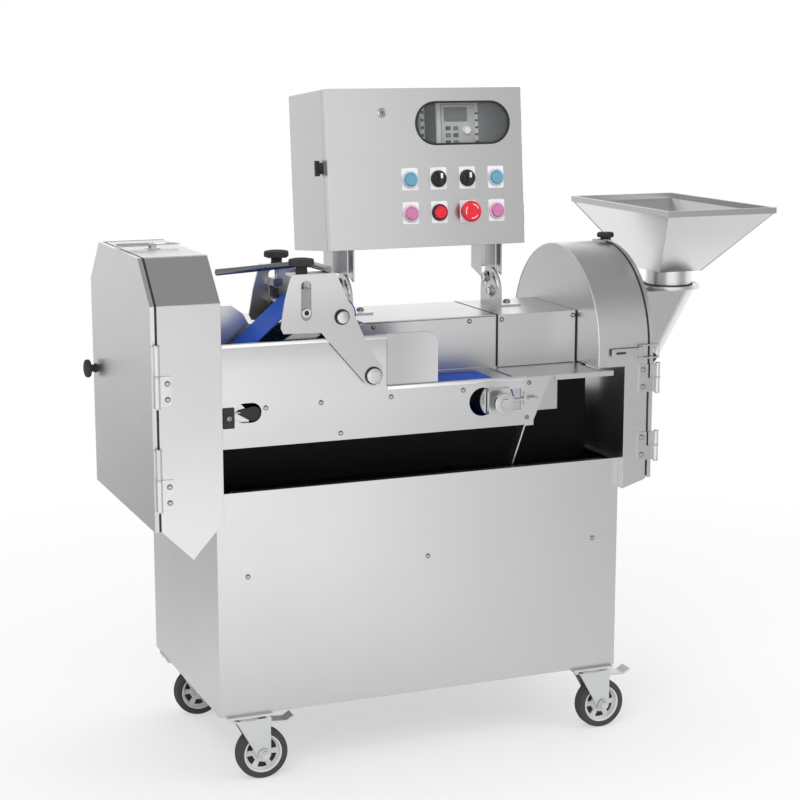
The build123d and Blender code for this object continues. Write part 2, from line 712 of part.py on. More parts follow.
with BuildPart() as press_rear_plate:
    press_plate(press_plate_rear, press_rear_face - flange_depth, rear_adjuster_y)
keep(press_rear_plate, "press_rear_plate")

def bent_rod(points, radius, bend):
    """A round rod bent along a row of points."""
    with BuildLine() as path:
        FilletPolyline(*points, radius=bend)
    with BuildSketch(Plane(origin=path.line @ 0, z_dir=path.line % 0)) as section:
        Circle(radius)
    sweep(section.sketch, path=path.line)


def point(x, y, z):
    """A point of the machine, moved to the datum."""
    return (datum_x + x, datum_y + y, z)


handle_radius = 6
handle_z = press_top + handle_radius
nose_frame_sheet = 3
nose_front = press_belt_front - 2 - nose_frame_sheet
nose_rear = press_belt_front + press_belt_width + 2
nose_stub_radius = 6
tension_stub_radius = 6
block_sheet = 9
block_half = slot_width / 2 - seat_gap
arm_low = tension_roller_z + tension_roller_radius + press_belt_thickness + 10
arm_high = arm_low + 14
with BuildPart() as press_frame:
    for tie in tie_points:
        bar(facing_front(press_plate_front + press_sheet), tie, tie_radius,
            -(press_plate_rear - press_plate_front - press_sheet))
    for plate_y in (nose_front, nose_rear):
        with BuildSketch(facing_front(plate_y)) as arm:
            with Locations((nose_roller_x, nose_roller_z), tie_points[0], (press_roller_x, press_roller_z)):
                Circle(12)
            make_hull()
            with Locations((nose_roller_x, nose_roller_z)):
                Circle(nose_stub_radius + running_clearance, mode=Mode.SUBTRACT)
            with Locations((press_roller_x, press_roller_z)):
                Circle(press_shaft_radius + running_clearance, mode=Mode.SUBTRACT)
        extrude(arm.sketch, amount=-nose_frame_sheet)
    bent_rod([point(206, -42, handle_z), point(200, 62, handle_z), point(14, 20, handle_z - 4)], handle_radius, 20)
    # The blocks that slide in the plates' slots and carry the tension roller.
    for block_y, arm_y in (((press_plate_front, press_plate_front + block_sheet),
                            (press_plate_front + block_sheet, front_adjuster_y + 8)),
                           ((press_rear_face - block_sheet, press_rear_face),
                            (rear_adjuster_y - 8, press_rear_face - block_sheet))):
        slab((adjuster_x - block_half, adjuster_x + block_half), block_y, (slot_low + slot_width / 2, arm_high))
        bar(facing_front(block_y[1]), (adjuster_x, slot_low + slot_width / 2), block_half, block_sheet)
        slab((adjuster_x - block_half, adjuster_x + block_half), arm_y, (arm_low, arm_high))
    bar(facing_front(press_plate_front), (tension_roller_x, tension_roller_z), tension_stub_radius + running_clearance,
        -(press_rear_face - press_plate_front), mode=Mode.SUBTRACT)
    for adjuster_y in (front_adjuster_y, rear_adjuster_y):
        bar(facing_up(arm_low), (adjuster_x, adjuster_y), adjuster_hole, arm_high - arm_low, mode=Mode.SUBTRACT)
keep(press_frame, "press_frame")

press_rollers = (((nose_roller_x, nose_roller_z), nose_roller_radius),
                 ((tension_roller_x, tension_roller_z), tension_roller_radius),
                 ((press_roller_x, press_roller_z), press_roller_radius))
with BuildPart() as press_belt:
    for extra, mode in ((press_belt_thickness, Mode.ADD), (seat_gap, Mode.SUBTRACT)):
        with BuildSketch(facing_front(press_belt_front)) as loop:
            for centre, radius in press_rollers:
                with Locations(centre):
                    Circle(radius + extra)
            make_hull()
        extrude(loop.sketch, amount=-press_belt_width, mode=mode)
keep(press_belt, "press_belt")

press_roller_face = facing_front(press_belt_front - 1)
press_roller_length = press_belt_width + 2
with BuildPart() as press_nose_roller:
    bar(press_roller_face, press_rollers[0][0], nose_roller_radius, -press_roller_length)
    bar(facing_front(nose_front), press_rollers[0][0], nose_stub_radius, -(nose_rear + nose_frame_sheet - nose_front))
keep(press_nose_roller, "press_nose_roller")

with BuildPart() as press_tension_roller:
    bar(press_roller_face, press_rollers[1][0], tension_roller_radius, -press_roller_length)
    bar(facing_front(press_plate_front), press_rollers[1][0], tension_stub_radius,
        -(press_rear_face - press_plate_front))
keep(press_tension_roller, "press_tension_roller")

with BuildPart() as press_drive_roller:
    bar(press_roller_face, press_rollers[2][0], press_roller_radius, -press_roller_length)
    bar(facing_front(press_plate_front - seat_gap), press_rollers[2][0], press_shaft_radius,
        -(press_rear_face - press_plate_front))
    hex_head(facing_front(press_plate_front - seat_gap), press_rollers[2][0], 19, 7)
keep(press_drive_roller, "press_drive_roller")

for side, adjuster_y in (("front", front_adjuster_y), ("rear", rear_adjuster_y)):
    with BuildPart() as press_knob:
        bar(facing_up(arm_low), (adjuster_x, adjuster_y), adjuster_radius, press_top + 10 - arm_low)
        bar(facing_up(press_top + seat_gap), (adjuster_x, adjuster_y), 11, 14)
        bar(facing_up(press_top + 12), (adjuster_x, adjuster_y), 19, 14)
        with Locations(facing_up(press_top + 12).location * Pos(adjuster_x, adjuster_y)):
            with PolarLocations(17, 6):
                Cylinder(6, 14, align=(Align.CENTER, Align.CENTER, Align.MIN))
    keep(press_knob, f"press_knob_{side}")

# Rear housing: a sheet box with the well that the press head's rear leg swings in.
housing_cover_bottom = housing_top - cover_sheet
well_floor = low_plate_top - 10
well_rear = channel_rear + well_depth - sheet
housing_inside = (channel_rear + sheet, housing_rear - sheet)
step_x = side_cover_start - 2
with BuildPart() as rear_housing:
    slab((0, step_x), (channel_rear, housing_rear), (plate_bottom, housing_cover_bottom))
    slab((step_x - sheet, housing_end), (channel_rear, housing_rear), (plate_bottom, side_cover_bottom - 1))
    slab((sheet, step_x - sheet), housing_inside, (plate_bottom + sheet, housing_cover_bottom), mode=Mode.SUBTRACT)
    slab((step_x - sheet, housing_end - sheet), housing_inside, (plate_bottom + sheet, side_cover_bottom),
         mode=Mode.SUBTRACT)
    slab((well_start - sheet, well_end + sheet), (channel_rear + sheet, well_rear + sheet),
         (well_floor - sheet, housing_cover_bottom))
    slab((well_start, well_end), (channel_rear + sheet, well_rear), (well_floor, housing_cover_bottom),
         mode=Mode.SUBTRACT)
    slab((step_x - sheet, step_x), housing_inside, (side_cover_bottom, housing_cover_bottom))
    bar(facing_front(channel_rear), (drive_roller_x, roller_z), feed_shaft_radius + running_clearance, -sheet,
        mode=Mode.SUBTRACT)
    bar(facing_right(0), (knife_axis_y, knife_axis_z), knife_shaft_radius + running_clearance, sheet,
        mode=Mode.SUBTRACT)
    # The rear stud of the press head's pivot, with its retaining head.
    bar(facing_front(well_rear), (press_pivot_x, press_pivot_z), press_shaft_radius,
        well_rear - press_plate_rear + seat_gap + 7)
    bar(facing_front(press_plate_rear - seat_gap), (press_pivot_x, press_pivot_z), 14, 7)
keep(rear_housing, "rear_housing")

with BuildPart() as housing_cover:
    panel(facing_up(housing_top),
          [(0, channel_rear), (well_start, channel_rear), (well_start, well_rear), (well_end, well_rear),
           (well_end, channel_rear), (step_x, channel_rear), (step_x, housing_rear), (0, housing_rear)],
          cover_sheet)
keep(housing_cover, "housing_cover")

side_cover_end = right_face_x - 1
cover_front = channel_rear - 2
with BuildPart() as side_cover:
    slab((side_cover_start, side_cover_end), (cover_front, housing_rear), (side_cover_bottom, housing_top))
    slab((side_cover_start + sheet, side_cover_end), (cover_front + sheet, housing_rear - sheet),
         (side_cover_bottom, housing_top - sheet), mode=Mode.SUBTRACT)
keep(side_cover, "side_cover")

with BuildPart() as motors:
    # Knife motor.
    bar(facing_right(motor_start), (knife_axis_y, knife_axis_z), 56, 150)
    bar(facing_right(motor_start), (knife_axis_y, knife_axis_z), knife_shaft_radius + running_clearance, 28,
        mode=Mode.SUBTRACT)
    slab((motor_start + 20, motor_start + 130), (knife_axis_y - 40, knife_axis_y + 40),
         (plate_bottom + sheet, knife_axis_z))
    # Slicing motor.
    bar(facing_right(side_cover_start + 8), (right_middle_y, right_axis_z), 56, 116)
    bar(facing_right(housing_end - 9), (right_middle_y, right_axis_z), 30, right_face_x - housing_end + 9)
    bar(facing_right(right_face_x), (right_middle_y, right_axis_z), slicer_shaft_radius + running_clearance, -28,
        mode=Mode.SUBTRACT)
    slab((side_cover_start + 20, side_cover_start + 110), (right_middle_y - 40, right_middle_y + 40),
         (plate_bottom + sheet, right_axis_z - 20))
    # Feed gear motor.
    bar(facing_front(rear_shaft_end + seat_gap), (drive_roller_x + 20, roller_z), 30, -90)
keep(motors, "motors")

# Right head: the drive cover and the chamber, one welded D-shaped drum.
drum_bottom = side_cover_bottom + 2
right_plane = facing_right(right_face_x)
with BuildPart() as right_head_drum:
    extrude(d_profile(right_plane, drum_bottom), amount=right_chamber_x - right_face_x)
    slab((right_face_x, right_chamber_x), (right_front - 1, right_front + 2 * right_radius + 1),
         (right_axis_z - right_radius, drum_bottom), mode=Mode.SUBTRACT)
    drive_cavity = facing_right(right_face_x + sheet)
    extrude(d_profile(drive_cavity, drum_bottom + sheet, sheet), amount=right_chamber_x - right_face_x - sheet,
            mode=Mode.SUBTRACT)
    slab((right_face_x + sheet, right_chamber_x), (right_front + 9, right_front + 2 * right_radius - 9),
         (drum_bottom, drum_bottom + sheet))
    chamber_plane = facing_right(right_chamber_x)
    extrude(d_profile(chamber_plane, right_bottom), amount=right_chamber_width)
    slab((right_chamber_x, right_gap_x), (right_front, right_front + 2 * right_radius),
         (right_bottom - 60, right_bottom), mode=Mode.SUBTRACT)
    panel(facing_front(right_front - 1),
          [(right_chamber_x, right_bottom), (right_gap_x, right_bottom), (right_gap_x, right_bottom + right_bottom_slope)],
          2 * right_radius + 2, mode=Mode.SUBTRACT)
    extrude(d_profile(facing_right(right_chamber_x + sheet), right_bottom - 10, sheet),
            amount=right_chamber_width, mode=Mode.SUBTRACT)
    bar(right_plane, (right_middle_y, right_axis_z), slicer_shaft_radius + running_clearance, 90, mode=Mode.SUBTRACT)
    # The lug over the door that carries the star knob's stud.
    lug_x = right_gap_x + 3
    slab((right_gap_x - 20, right_gap_x - 2), (right_middle_y - 12, right_middle_y + 12), (right_top - 4, right_top + 3.5))
    slab((right_gap_x - 20, lug_x), (right_middle_y - 12, right_middle_y + 12), (right_top + 1, right_top + 3.5))
    bar(facing_up(right_top + 1), (lug_x, right_middle_y), 12, 2.5)
    bar(facing_up(right_top + 1), (lug_x, right_middle_y), 4, 12)
keep(right_head_drum, "right_head_drum")

with BuildPart() as star_knob:
    star_plane = facing_up(right_top + 3.5 + seat_gap)
    bar(star_plane, (lug_x, right_middle_y), 12, 14)
    with Locations(star_plane.offset(3).location * Pos(lug_x, right_middle_y)):
        with PolarLocations(12, 5):
            Cylinder(6, 11, align=(Align.CENTER, Align.CENTER, Align.MIN))
    bar(star_plane, (lug_x, right_middle_y), 4 + running_clearance, 10, mode=Mode.SUBTRACT)
keep(star_knob, "star_knob")

disc_x = right_chamber_x + 20
with BuildPart() as slicing_disc:
    disc_plane = facing_right(disc_x)
    bar(disc_plane, (right_middle_y, right_axis_z), slicer_disc_radius, slicer_disc_thickness)
    bar(facing_right(right_face_x - 26), (right_middle_y, right_axis_z), slicer_shaft_radius, disc_x - right_face_x + 30)
    bar(disc_plane, (right_middle_y, right_axis_z), 24, 20)
    # Three curved slots with their knives.
    with Locations(disc_plane.location * Pos(right_middle_y, right_axis_z)):
        with PolarLocations(95, 3):
            Box(110, 8, slicer_disc_thickness, align=(Align.CENTER, Align.CENTER, Align.MIN), mode=Mode.SUBTRACT)
        with PolarLocations(95, 3):
            with Locations((0, -9, slicer_disc_thickness)):
                Box(104, 18, 2, align=(Align.CENTER, Align.CENTER, Align.MIN))
keep(slicing_disc, "slicing_disc")

# Right door with the half-round chute and the collar that takes the hopper.
door_inner = right_gap_x + right_gap
door_outer = door_inner + right_door_thickness
door_margin = 0.5
chute_top_radius = 56
chute_low_radius = 30
chute_low_reach = 22
chute_top = collar_top - 6


def chute_section(height, inset):
    """The chute's half-round section at a height, taken in by its sheet."""
    share = (height - chute_bottom) / (chute_top - chute_bottom)
    radius = chute_low_radius + share * (chute_top_radius - chute_low_radius) - inset
    middle = door_outer + 2 + share * (hopper_x - door_outer - 2)
    reach = door_outer + chute_low_reach
    reach += share * (hopper_x + chute_top_radius - reach)
    with BuildSketch(facing_up(height)) as section:
        with BuildLine():
            Polyline((middle, hopper_y - radius), (door_outer, hopper_y - radius), (door_outer, hopper_y + radius),
                     (middle, hopper_y + radius))
            ThreePointArc((middle, hopper_y + radius), (reach - inset, hopper_y), (middle, hopper_y - radius))
        make_face()
    return section.sketch


with BuildPart() as right_door:
    extrude(d_profile(facing_right(door_inner), right_bottom + right_bottom_slope + 2, door_margin),
            amount=right_door_thickness)
    slab((door_inner, door_outer), (right_front, right_front + 2 * right_radius),
         (right_bottom - 20, right_bottom + right_bottom_slope + 2), mode=Mode.SUBTRACT)
    extrude(d_profile(facing_right(door_inner), right_bottom + right_bottom_slope + 2 + sheet, door_margin + sheet),
            amount=right_door_thickness - sheet, mode=Mode.SUBTRACT)
    loft([chute_section(chute_bottom, 0), chute_section(chute_top, 0)], ruled=True)
    loft([chute_section(chute_bottom - 0.01, sheet), chute_section(chute_top - sheet, sheet)], ruled=True,
         mode=Mode.SUBTRACT)
    # The feed opening between chute and chamber.
    panel(facing_right(door_outer),
          [(hopper_y - 26, chute_bottom + 6), (hopper_y + 26, chute_bottom + 6), (hopper_y + 50, chute_top - 8),
           (hopper_y - 50, chute_top - 8)], sheet, mode=Mode.SUBTRACT)
    bar(facing_up(chute_top), (hopper_x, hopper_y), collar_rim_radius, collar_top - chute_top)
    bar(facing_up(chute_top - sheet), (hopper_x, hopper_y), neck_radius + running_clearance, 20, mode=Mode.SUBTRACT)
    for low, high in right_hinges:
        half = (low + high) / 2 + barrel_gap
        bar(facing_up(half), (right_hinge_x, right_hinge_y), hinge_barrel_radius, high - half)
        bar(facing_up(low + 6), (right_hinge_x, right_hinge_y), pin_radius - running_clearance, half - low)
        slab((door_inner, right_hinge_x), (right_front - leaf_sheet, right_front + door_margin), (half, high))
    # The keeper that the front latch hooks over.
    slab((door_outer, door_outer + 4), (right_front - 2, right_front + 10), (right_latch_z - 5, right_latch_z + 5))
keep(right_door, "right_door")

# Hopper: a square neck ring that grows into a pyramid with a folded rim.
hopper_left = reach_right - hopper_width_x
hopper_front = -2
hopper_middle = (hopper_left + hopper_width_x / 2, hopper_front + hopper_length_y / 2)
throat = 98
rim_bottom = hopper_top - hopper_hem


def hopper_section(height, centre, size):
    """A rectangle of the hopper at one height."""
    with BuildSketch(facing_up(height)) as section:
        with Locations(centre):
            Rectangle(size[0], size[1])
    return section.sketch


with BuildPart() as hopper:
    bar(facing_up(neck_bottom), (hopper_x, hopper_y), neck_radius, neck_top - neck_bottom)
    for inset, mode in ((0, Mode.ADD), (sheet, Mode.SUBTRACT)):
        low = hopper_section(neck_top, (hopper_x, hopper_y), (throat - 2 * inset, throat - 2 * inset))
        high = hopper_section(rim_bottom, hopper_middle,
                              (hopper_width_x - 2 * inset - 8, hopper_length_y - 2 * inset - 8))
        loft([low, high], ruled=True, mode=mode)
    slab((hopper_left, reach_right), (hopper_front, hopper_front + hopper_length_y), (rim_bottom, hopper_top))
    slab((hopper_left + 6.5, reach_right - 6.5), (hopper_front + 6.5, hopper_front + hopper_length_y - 6.5),
         (rim_bottom, hopper_top), mode=Mode.SUBTRACT)
    bar(facing_up(neck_bottom), (hopper_x, hopper_y), neck_radius - 2, neck_top - neck_bottom + 1,
        mode=Mode.SUBTRACT)
keep(hopper, "hopper")

# Delivery shelf and its gusset bracket.
shelf_rear = channel_rear - sheet - 0.5
shelf_right = right_chamber_x - 35
gusset_y = shelf_front + 2
shelf_under = shelf_top - shelf_sheet
brace_x = low_plate_end + 2
brace_end = brace_x + 20
gusset_end = brace_x + 56
lip_start = brace_x + 64
with BuildPart() as shelf:
    panel(facing_up(shelf_top),
          [(shelf_left, shelf_rear), (side_cover_end, shelf_rear), (side_cover_end, right_front - 0.5),
           (shelf_right, shelf_front), (shelf_left, shelf_front)], shelf_sheet)
    slab((lip_start, shelf_right), (shelf_front, shelf_front + sheet), (shelf_top - shelf_lip, shelf_top))
    # The gusset under the shelf.
    panel(facing_front(gusset_y),
          [(brace_x, shelf_under), (gusset_end, shelf_under), (brace_end, plate_bottom + 7),
           (brace_end, plate_bottom - 3), (brace_x, plate_bottom - 3)], 3)
    slab((brace_x, gusset_end), (gusset_y, gusset_y + 22), (shelf_under - 3, shelf_under))
    # The brace down to the cabinet rim.
    slab((brace_x, brace_end), (gusset_y, gusset_y + 30), (plate_bottom - 3, plate_bottom))
    panel(facing_right(brace_x), [(gusset_y, plate_bottom - 3), (gusset_y + 30, plate_bottom - 3),
                                  (50, deck_top + 3), (50, deck_top), (19, deck_top), (19, cabinet_top)], -3)
    slab((brace_x, brace_x + 36), (19, 50), (deck_top, deck_top + 3))
keep(shelf, "shelf")

# Control box: its own plane leans back, with the zero of depth on the door's front.
lean = radians(box_tilt)
box_plane = Plane(origin=(datum_x + box_left + box_width / 2, datum_y + box_front, box_bottom),
                  x_dir=(1, 0, 0), z_dir=(0, -cos(lean), sin(lean)))
box_half = box_width / 2
box_back = -box_depth
door_seam = 2


def box_slab(x, rise, depth, mode=Mode.ADD):
    """A block of the control box: across, up and out from the door's front face."""
    with Locations(box_plane.location * Pos(sum(x) / 2, sum(rise) / 2, sum(depth) / 2)):
        Box(x[1] - x[0], rise[1] - rise[0], depth[1] - depth[0], mode=mode)


def box_bar(across, rise, radius, depth, mode=Mode.ADD):
    """A round bar of the control box, square to the door."""
    with Locations(box_plane.location * Pos(across, rise, depth[0])):
        Cylinder(radius, depth[1] - depth[0], align=(Align.CENTER, Align.CENTER, Align.MIN), mode=mode)


yoke_sheet = 3
yoke_half = 24
left_bracket_x = 333
bracket_places = (left_bracket_x, bracket_x)
yoke_centres = (left_bracket_x - 4, bracket_x - 4)
tilt_bolt_radius = 5
clamp_y = tilt_axis_y + 24
clamp_z = tilt_axis_z + 26
clamp_turn = hypot(clamp_y - tilt_axis_y, clamp_z - tilt_axis_z)
clamp_angle = degrees(atan2(clamp_z - tilt_axis_z, clamp_y - tilt_axis_y))
box_shell_front = -box_door_thickness - door_seam
door_hinge_x = box_half + 5.5
door_hinge_depth = -box_door_thickness - 1
door_hinge_spans = ((40, 80), (box_height - 80, box_height - 40))


def box_bottom_at(y):
    """The height of the leaning box's underside at one distance from the front."""
    return box_bottom - (y - box_front) * tan(lean)


with BuildPart() as control_box:
    box_slab((-box_half, box_half), (0, box_height), (box_back, box_shell_front))
    box_slab((-box_half + box_sheet, box_half - box_sheet), (box_sheet, box_height - box_sheet),
             (box_back + box_sheet, box_shell_front), mode=Mode.SUBTRACT)
    # The lower half of each door hinge.
    for low, high in door_hinge_spans:
        middle = (low + high) / 2
        barrel = Plane(origin=box_plane.from_local_coords((door_hinge_x, low, door_hinge_depth)),
                       z_dir=box_plane.y_dir)
        tube(barrel, (0, 0), 4, 2, middle - low)
        box_slab((box_half, door_hinge_x), (low, middle), (box_shell_front - 8, box_shell_front - 1.5))
    # Two yokes under the box, each with the tongue that tilts against its bracket.
    for number, centre in enumerate(yoke_centres):
        for side_x in (centre - yoke_half, centre + yoke_half - yoke_sheet):
            panel(facing_right(side_x),
                  [(215, 911), (260, 925), (260, box_bottom_at(260) + 1), (215, box_bottom_at(215) + 1)], -yoke_sheet)
        panel(facing_front(260 - yoke_sheet),
              [(centre - yoke_half, 925), (centre + yoke_half, 925), (centre + yoke_half, box_bottom_at(260) + 1),
               (centre - yoke_half, box_bottom_at(260) + 1)], yoke_sheet)
        tongue_plane = facing_right(bracket_places[number] + bracket_sheet + seat_gap)
        with BuildSketch(tongue_plane) as tongue:
            with Locations((tilt_axis_y, tilt_axis_z)):
                Circle(16)
            with Locations((clamp_y, clamp_z)):
                Circle(13)
            add(outline(Plane.XY, [(212, 940), (257, 940), (257, box_bottom_at(257) + 1),
                                   (212, box_bottom_at(212) + 1)]))
            make_hull()
            with Locations((tilt_axis_y, tilt_axis_z)):
                Circle(tilt_bolt_radius + running_clearance, mode=Mode.SUBTRACT)
        extrude(tongue.sketch, amount=bracket_sheet)
        clamp = (clamp_y, clamp_z)
        bar(tongue_plane, clamp, 4, -(bracket_sheet + 2 * seat_gap + 1))
        hex_head(tongue_plane.offset(-(bracket_sheet + 2 * seat_gap + 5)), clamp, 16, 5)
        hex_head(tongue_plane.offset(bracket_sheet), clamp, 16, 6)
keep(control_box, "control_box")

with BuildPart() as box_brackets:
    for place in bracket_places:
        bracket_plane = facing_right(place)
        with BuildSketch(bracket_plane) as cheek:
            with Locations((tilt_axis_y, tilt_axis_z)):
                Circle(bracket_radius)
            with Locations((tilt_axis_y, housing_top + 2)):
                Rectangle(2 * bracket_radius, 4)
            make_hull()
            with Locations((tilt_axis_y, housing_top - bracket_radius)):
                Rectangle(4 * bracket_radius, 2 * bracket_radius, mode=Mode.SUBTRACT)
            for middle_angle in (clamp_angle, 180 - clamp_angle):
                path = Edge.make_circle(clamp_turn, Plane((tilt_axis_y, tilt_axis_z, 0)),
                                        start_angle=middle_angle - 24, end_angle=middle_angle + 24)
                SlotArc(path, 11, mode=Mode.SUBTRACT)
        extrude(cheek.sketch, amount=bracket_sheet)
        slab((place, place + 46), (tilt_axis_y - bracket_radius + 2, tilt_axis_y + bracket_radius - 2),
             (housing_top, housing_top + bracket_sheet))
        pan_head(facing_up(housing_top + bracket_sheet), (place + 34, tilt_axis_y - 5), 7)
        # The bolt that the box tilts on.
        bar(bracket_plane, (tilt_axis_y, tilt_axis_z), tilt_bolt_radius, 2 * bracket_sheet + 2 * seat_gap)
        hex_head(bracket_plane.offset(-5), (tilt_axis_y, tilt_axis_z), 17, 5)
        hex_head(bracket_plane.offset(2 * bracket_sheet + 2 * seat_gap), (tilt_axis_y, tilt_axis_z), 17, 6)
keep(box_brackets, "box_brackets")

# Control door: a pan with a window, control bezels, bare tag plates and a key lock.
row_upper = [(column, upper_row) for column in control_columns]
row_lower = [(column, lower_row) for column in control_columns]
window_middle = (window_left + window_length / 2, window_low + window_rise / 2)
door_skin = 2
tag_sheet = 0.8
bezel_height = 6
mushroom_place = row_lower[2]
stem_radius = 11
with BuildPart() as control_door:
    box_slab((-box_half, box_half), (0, box_height), (-box_door_thickness, 0))
    box_slab((-box_half + door_skin, box_half - door_skin), (door_skin, box_height - door_skin),
             (-box_door_thickness, -door_skin), mode=Mode.SUBTRACT)
    with BuildSketch(box_plane) as window:
        with Locations(window_middle):
            SlotOverall(window_length, window_rise)
    extrude(window.sketch, amount=-door_skin, mode=Mode.SUBTRACT)
    for across, rise in row_upper + row_lower:
        box_slab((across - 17, across + 17), (rise - 21, rise + 22), (0, tag_sheet))
        box_bar(across, rise, bezel_radius, (0, bezel_height))
        bore = stem_radius if (across, rise) == mushroom_place else button_radius
        box_bar(across, rise, bore + running_clearance, (-door_skin, bezel_height), mode=Mode.SUBTRACT)
    box_bar(-92, 263, 8, (0, 4))
    for low, high in door_hinge_spans:
        middle = (low + high) / 2 + barrel_gap
        axis_plane = Plane(origin=box_plane.from_local_coords((door_hinge_x, middle, door_hinge_depth)),
                           z_dir=box_plane.y_dir)
        bar(axis_plane, (0, 0), 4, high - middle)
        bar(axis_plane, (0, 0), 2 - running_clearance, -14)
        box_slab((box_half, door_hinge_x), (middle, high), (door_hinge_depth + 1, door_hinge_depth + 3.5))
keep(control_door, "control_door")

with BuildPart() as window_pane:
    with BuildSketch(box_plane.offset(-door_skin - 3)) as pane:
        with Locations(window_middle):
            SlotOverall(window_length + 14, window_rise + 14)
    extrude(pane.sketch, amount=3)
keep(window_pane, "window_pane")

with BuildPart() as inverter:
    box_slab((42, 136), (160, 290), (box_back + box_sheet, -50))
    box_bar(89, 196, 9, (-50, -42))
    for key_x in (57, 73, 105, 121):
        box_slab((key_x - 5, key_x + 5), (176, 184), (-50, -48))
keep(inverter, "inverter")

lock_plane = Plane(origin=box_plane.from_local_coords((-box_half, 160, -38)), x_dir=box_plane.y_dir,
                   z_dir=box_plane.x_dir * -1)
with BuildPart() as door_lock:
    bar(lock_plane, (0, 0), 10, 5)
    with Locations(lock_plane.location * Pos(0, 0, 8)):
        Box(30, 8, 8)
keep(door_lock, "door_lock")

for name, (across, rise) in (("blue_button_left", row_upper[0]), ("blue_button_right", row_upper[3]),
                             ("pink_button_left", row_lower[0]), ("pink_button_right", row_lower[3]),
                             ("red_button", row_lower[1])):
    with BuildPart() as button:
        box_bar(across, rise, button_radius, (-4, button_reach))
        box_bar(across, rise, 5, (-14, -4))
    keep(button, name)

with BuildPart() as estop_button:
    box_bar(*mushroom_place, stem_radius, (-6, 14))
    box_bar(*mushroom_place, mushroom_radius, (13, 23))
    fillet(estop_button.edges().filter_by(GeomType.CIRCLE).group_by(SortBy.RADIUS)[-1].sort_by(Axis.Y)[0], 5)
keep(estop_button, "estop_button")

for name, (across, rise) in (("selector_left", row_upper[1]), ("selector_right", row_upper[2])):
    with BuildPart() as selector:
        box_bar(across, rise, button_radius, (-4, 8))
        box_slab((across - 3.5, across + 3.5), (rise - 11, rise + 11), (8, 18))
    keep(selector, name)
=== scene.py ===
"""Looks of a stainless vegetable cutting machine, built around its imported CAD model."""

import math

import bmesh
import bpy
from bpy.props import FloatProperty, FloatVectorProperty, PointerProperty
from mathutils import Matrix, Vector


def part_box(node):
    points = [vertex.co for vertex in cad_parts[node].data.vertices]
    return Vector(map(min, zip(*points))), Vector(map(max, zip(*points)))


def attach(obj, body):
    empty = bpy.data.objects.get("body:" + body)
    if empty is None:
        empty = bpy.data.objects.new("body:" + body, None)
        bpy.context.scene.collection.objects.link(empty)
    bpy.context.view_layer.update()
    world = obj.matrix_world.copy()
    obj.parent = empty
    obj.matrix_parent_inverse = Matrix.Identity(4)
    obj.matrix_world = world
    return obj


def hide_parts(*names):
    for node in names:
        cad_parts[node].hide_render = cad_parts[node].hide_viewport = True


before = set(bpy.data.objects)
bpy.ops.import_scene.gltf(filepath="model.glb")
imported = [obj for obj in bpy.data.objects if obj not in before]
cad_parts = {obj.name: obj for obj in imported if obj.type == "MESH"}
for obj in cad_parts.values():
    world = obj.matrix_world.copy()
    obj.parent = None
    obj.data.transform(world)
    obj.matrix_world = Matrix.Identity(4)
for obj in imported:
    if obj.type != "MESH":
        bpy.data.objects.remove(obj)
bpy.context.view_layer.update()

bl_info = {
    "name": "Vegetable cutting machine",
    "version": (1, 0, 0),
    "blender": (4, 5, 0),
    "location": "View3D > Sidebar > Cutter",
    "description": "Finishes and small parts of a vegetable cutting machine",
    "category": "Object",
}

MM = 0.001
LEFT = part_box("cabinet_shell")[0].x
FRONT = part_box("front_panel")[0].y
ACROSS, DEEP, HEIGHT = range(3)
SHARP_ANGLE = math.radians(35)
LOBE_DEPTH = 0.07


def spot(x, y, z):
    """A point in millimetres from the cabinet's left side, its front and the ground."""
    return Vector((LEFT + x * MM, FRONT + y * MM, z * MM))


def in_metres(*millimetres):
    """A point of a piece's own space."""
    return Vector([value * MM for value in millimetres])


# Shader building.
class Number:
    """A shader value whose operators add Math nodes."""

    def __init__(self, shader, socket):
        self.shader = shader
        self.socket = socket

    def __add__(self, other):
        return self.shader.math("ADD", self, other)

    def __radd__(self, other):
        return self.shader.math("ADD", other, self)

    def __sub__(self, other):
        return self.shader.math("SUBTRACT", self, other)

    def __rsub__(self, other):
        return self.shader.math("SUBTRACT", other, self)

    def __mul__(self, other):
        return self.shader.math("MULTIPLY", self, other)

    def __rmul__(self, other):
        return self.shader.math("MULTIPLY", other, self)

    def __truediv__(self, other):
        return self.shader.math("DIVIDE", self, other)

    def __pow__(self, other):
        return self.shader.math("POWER", self, other)


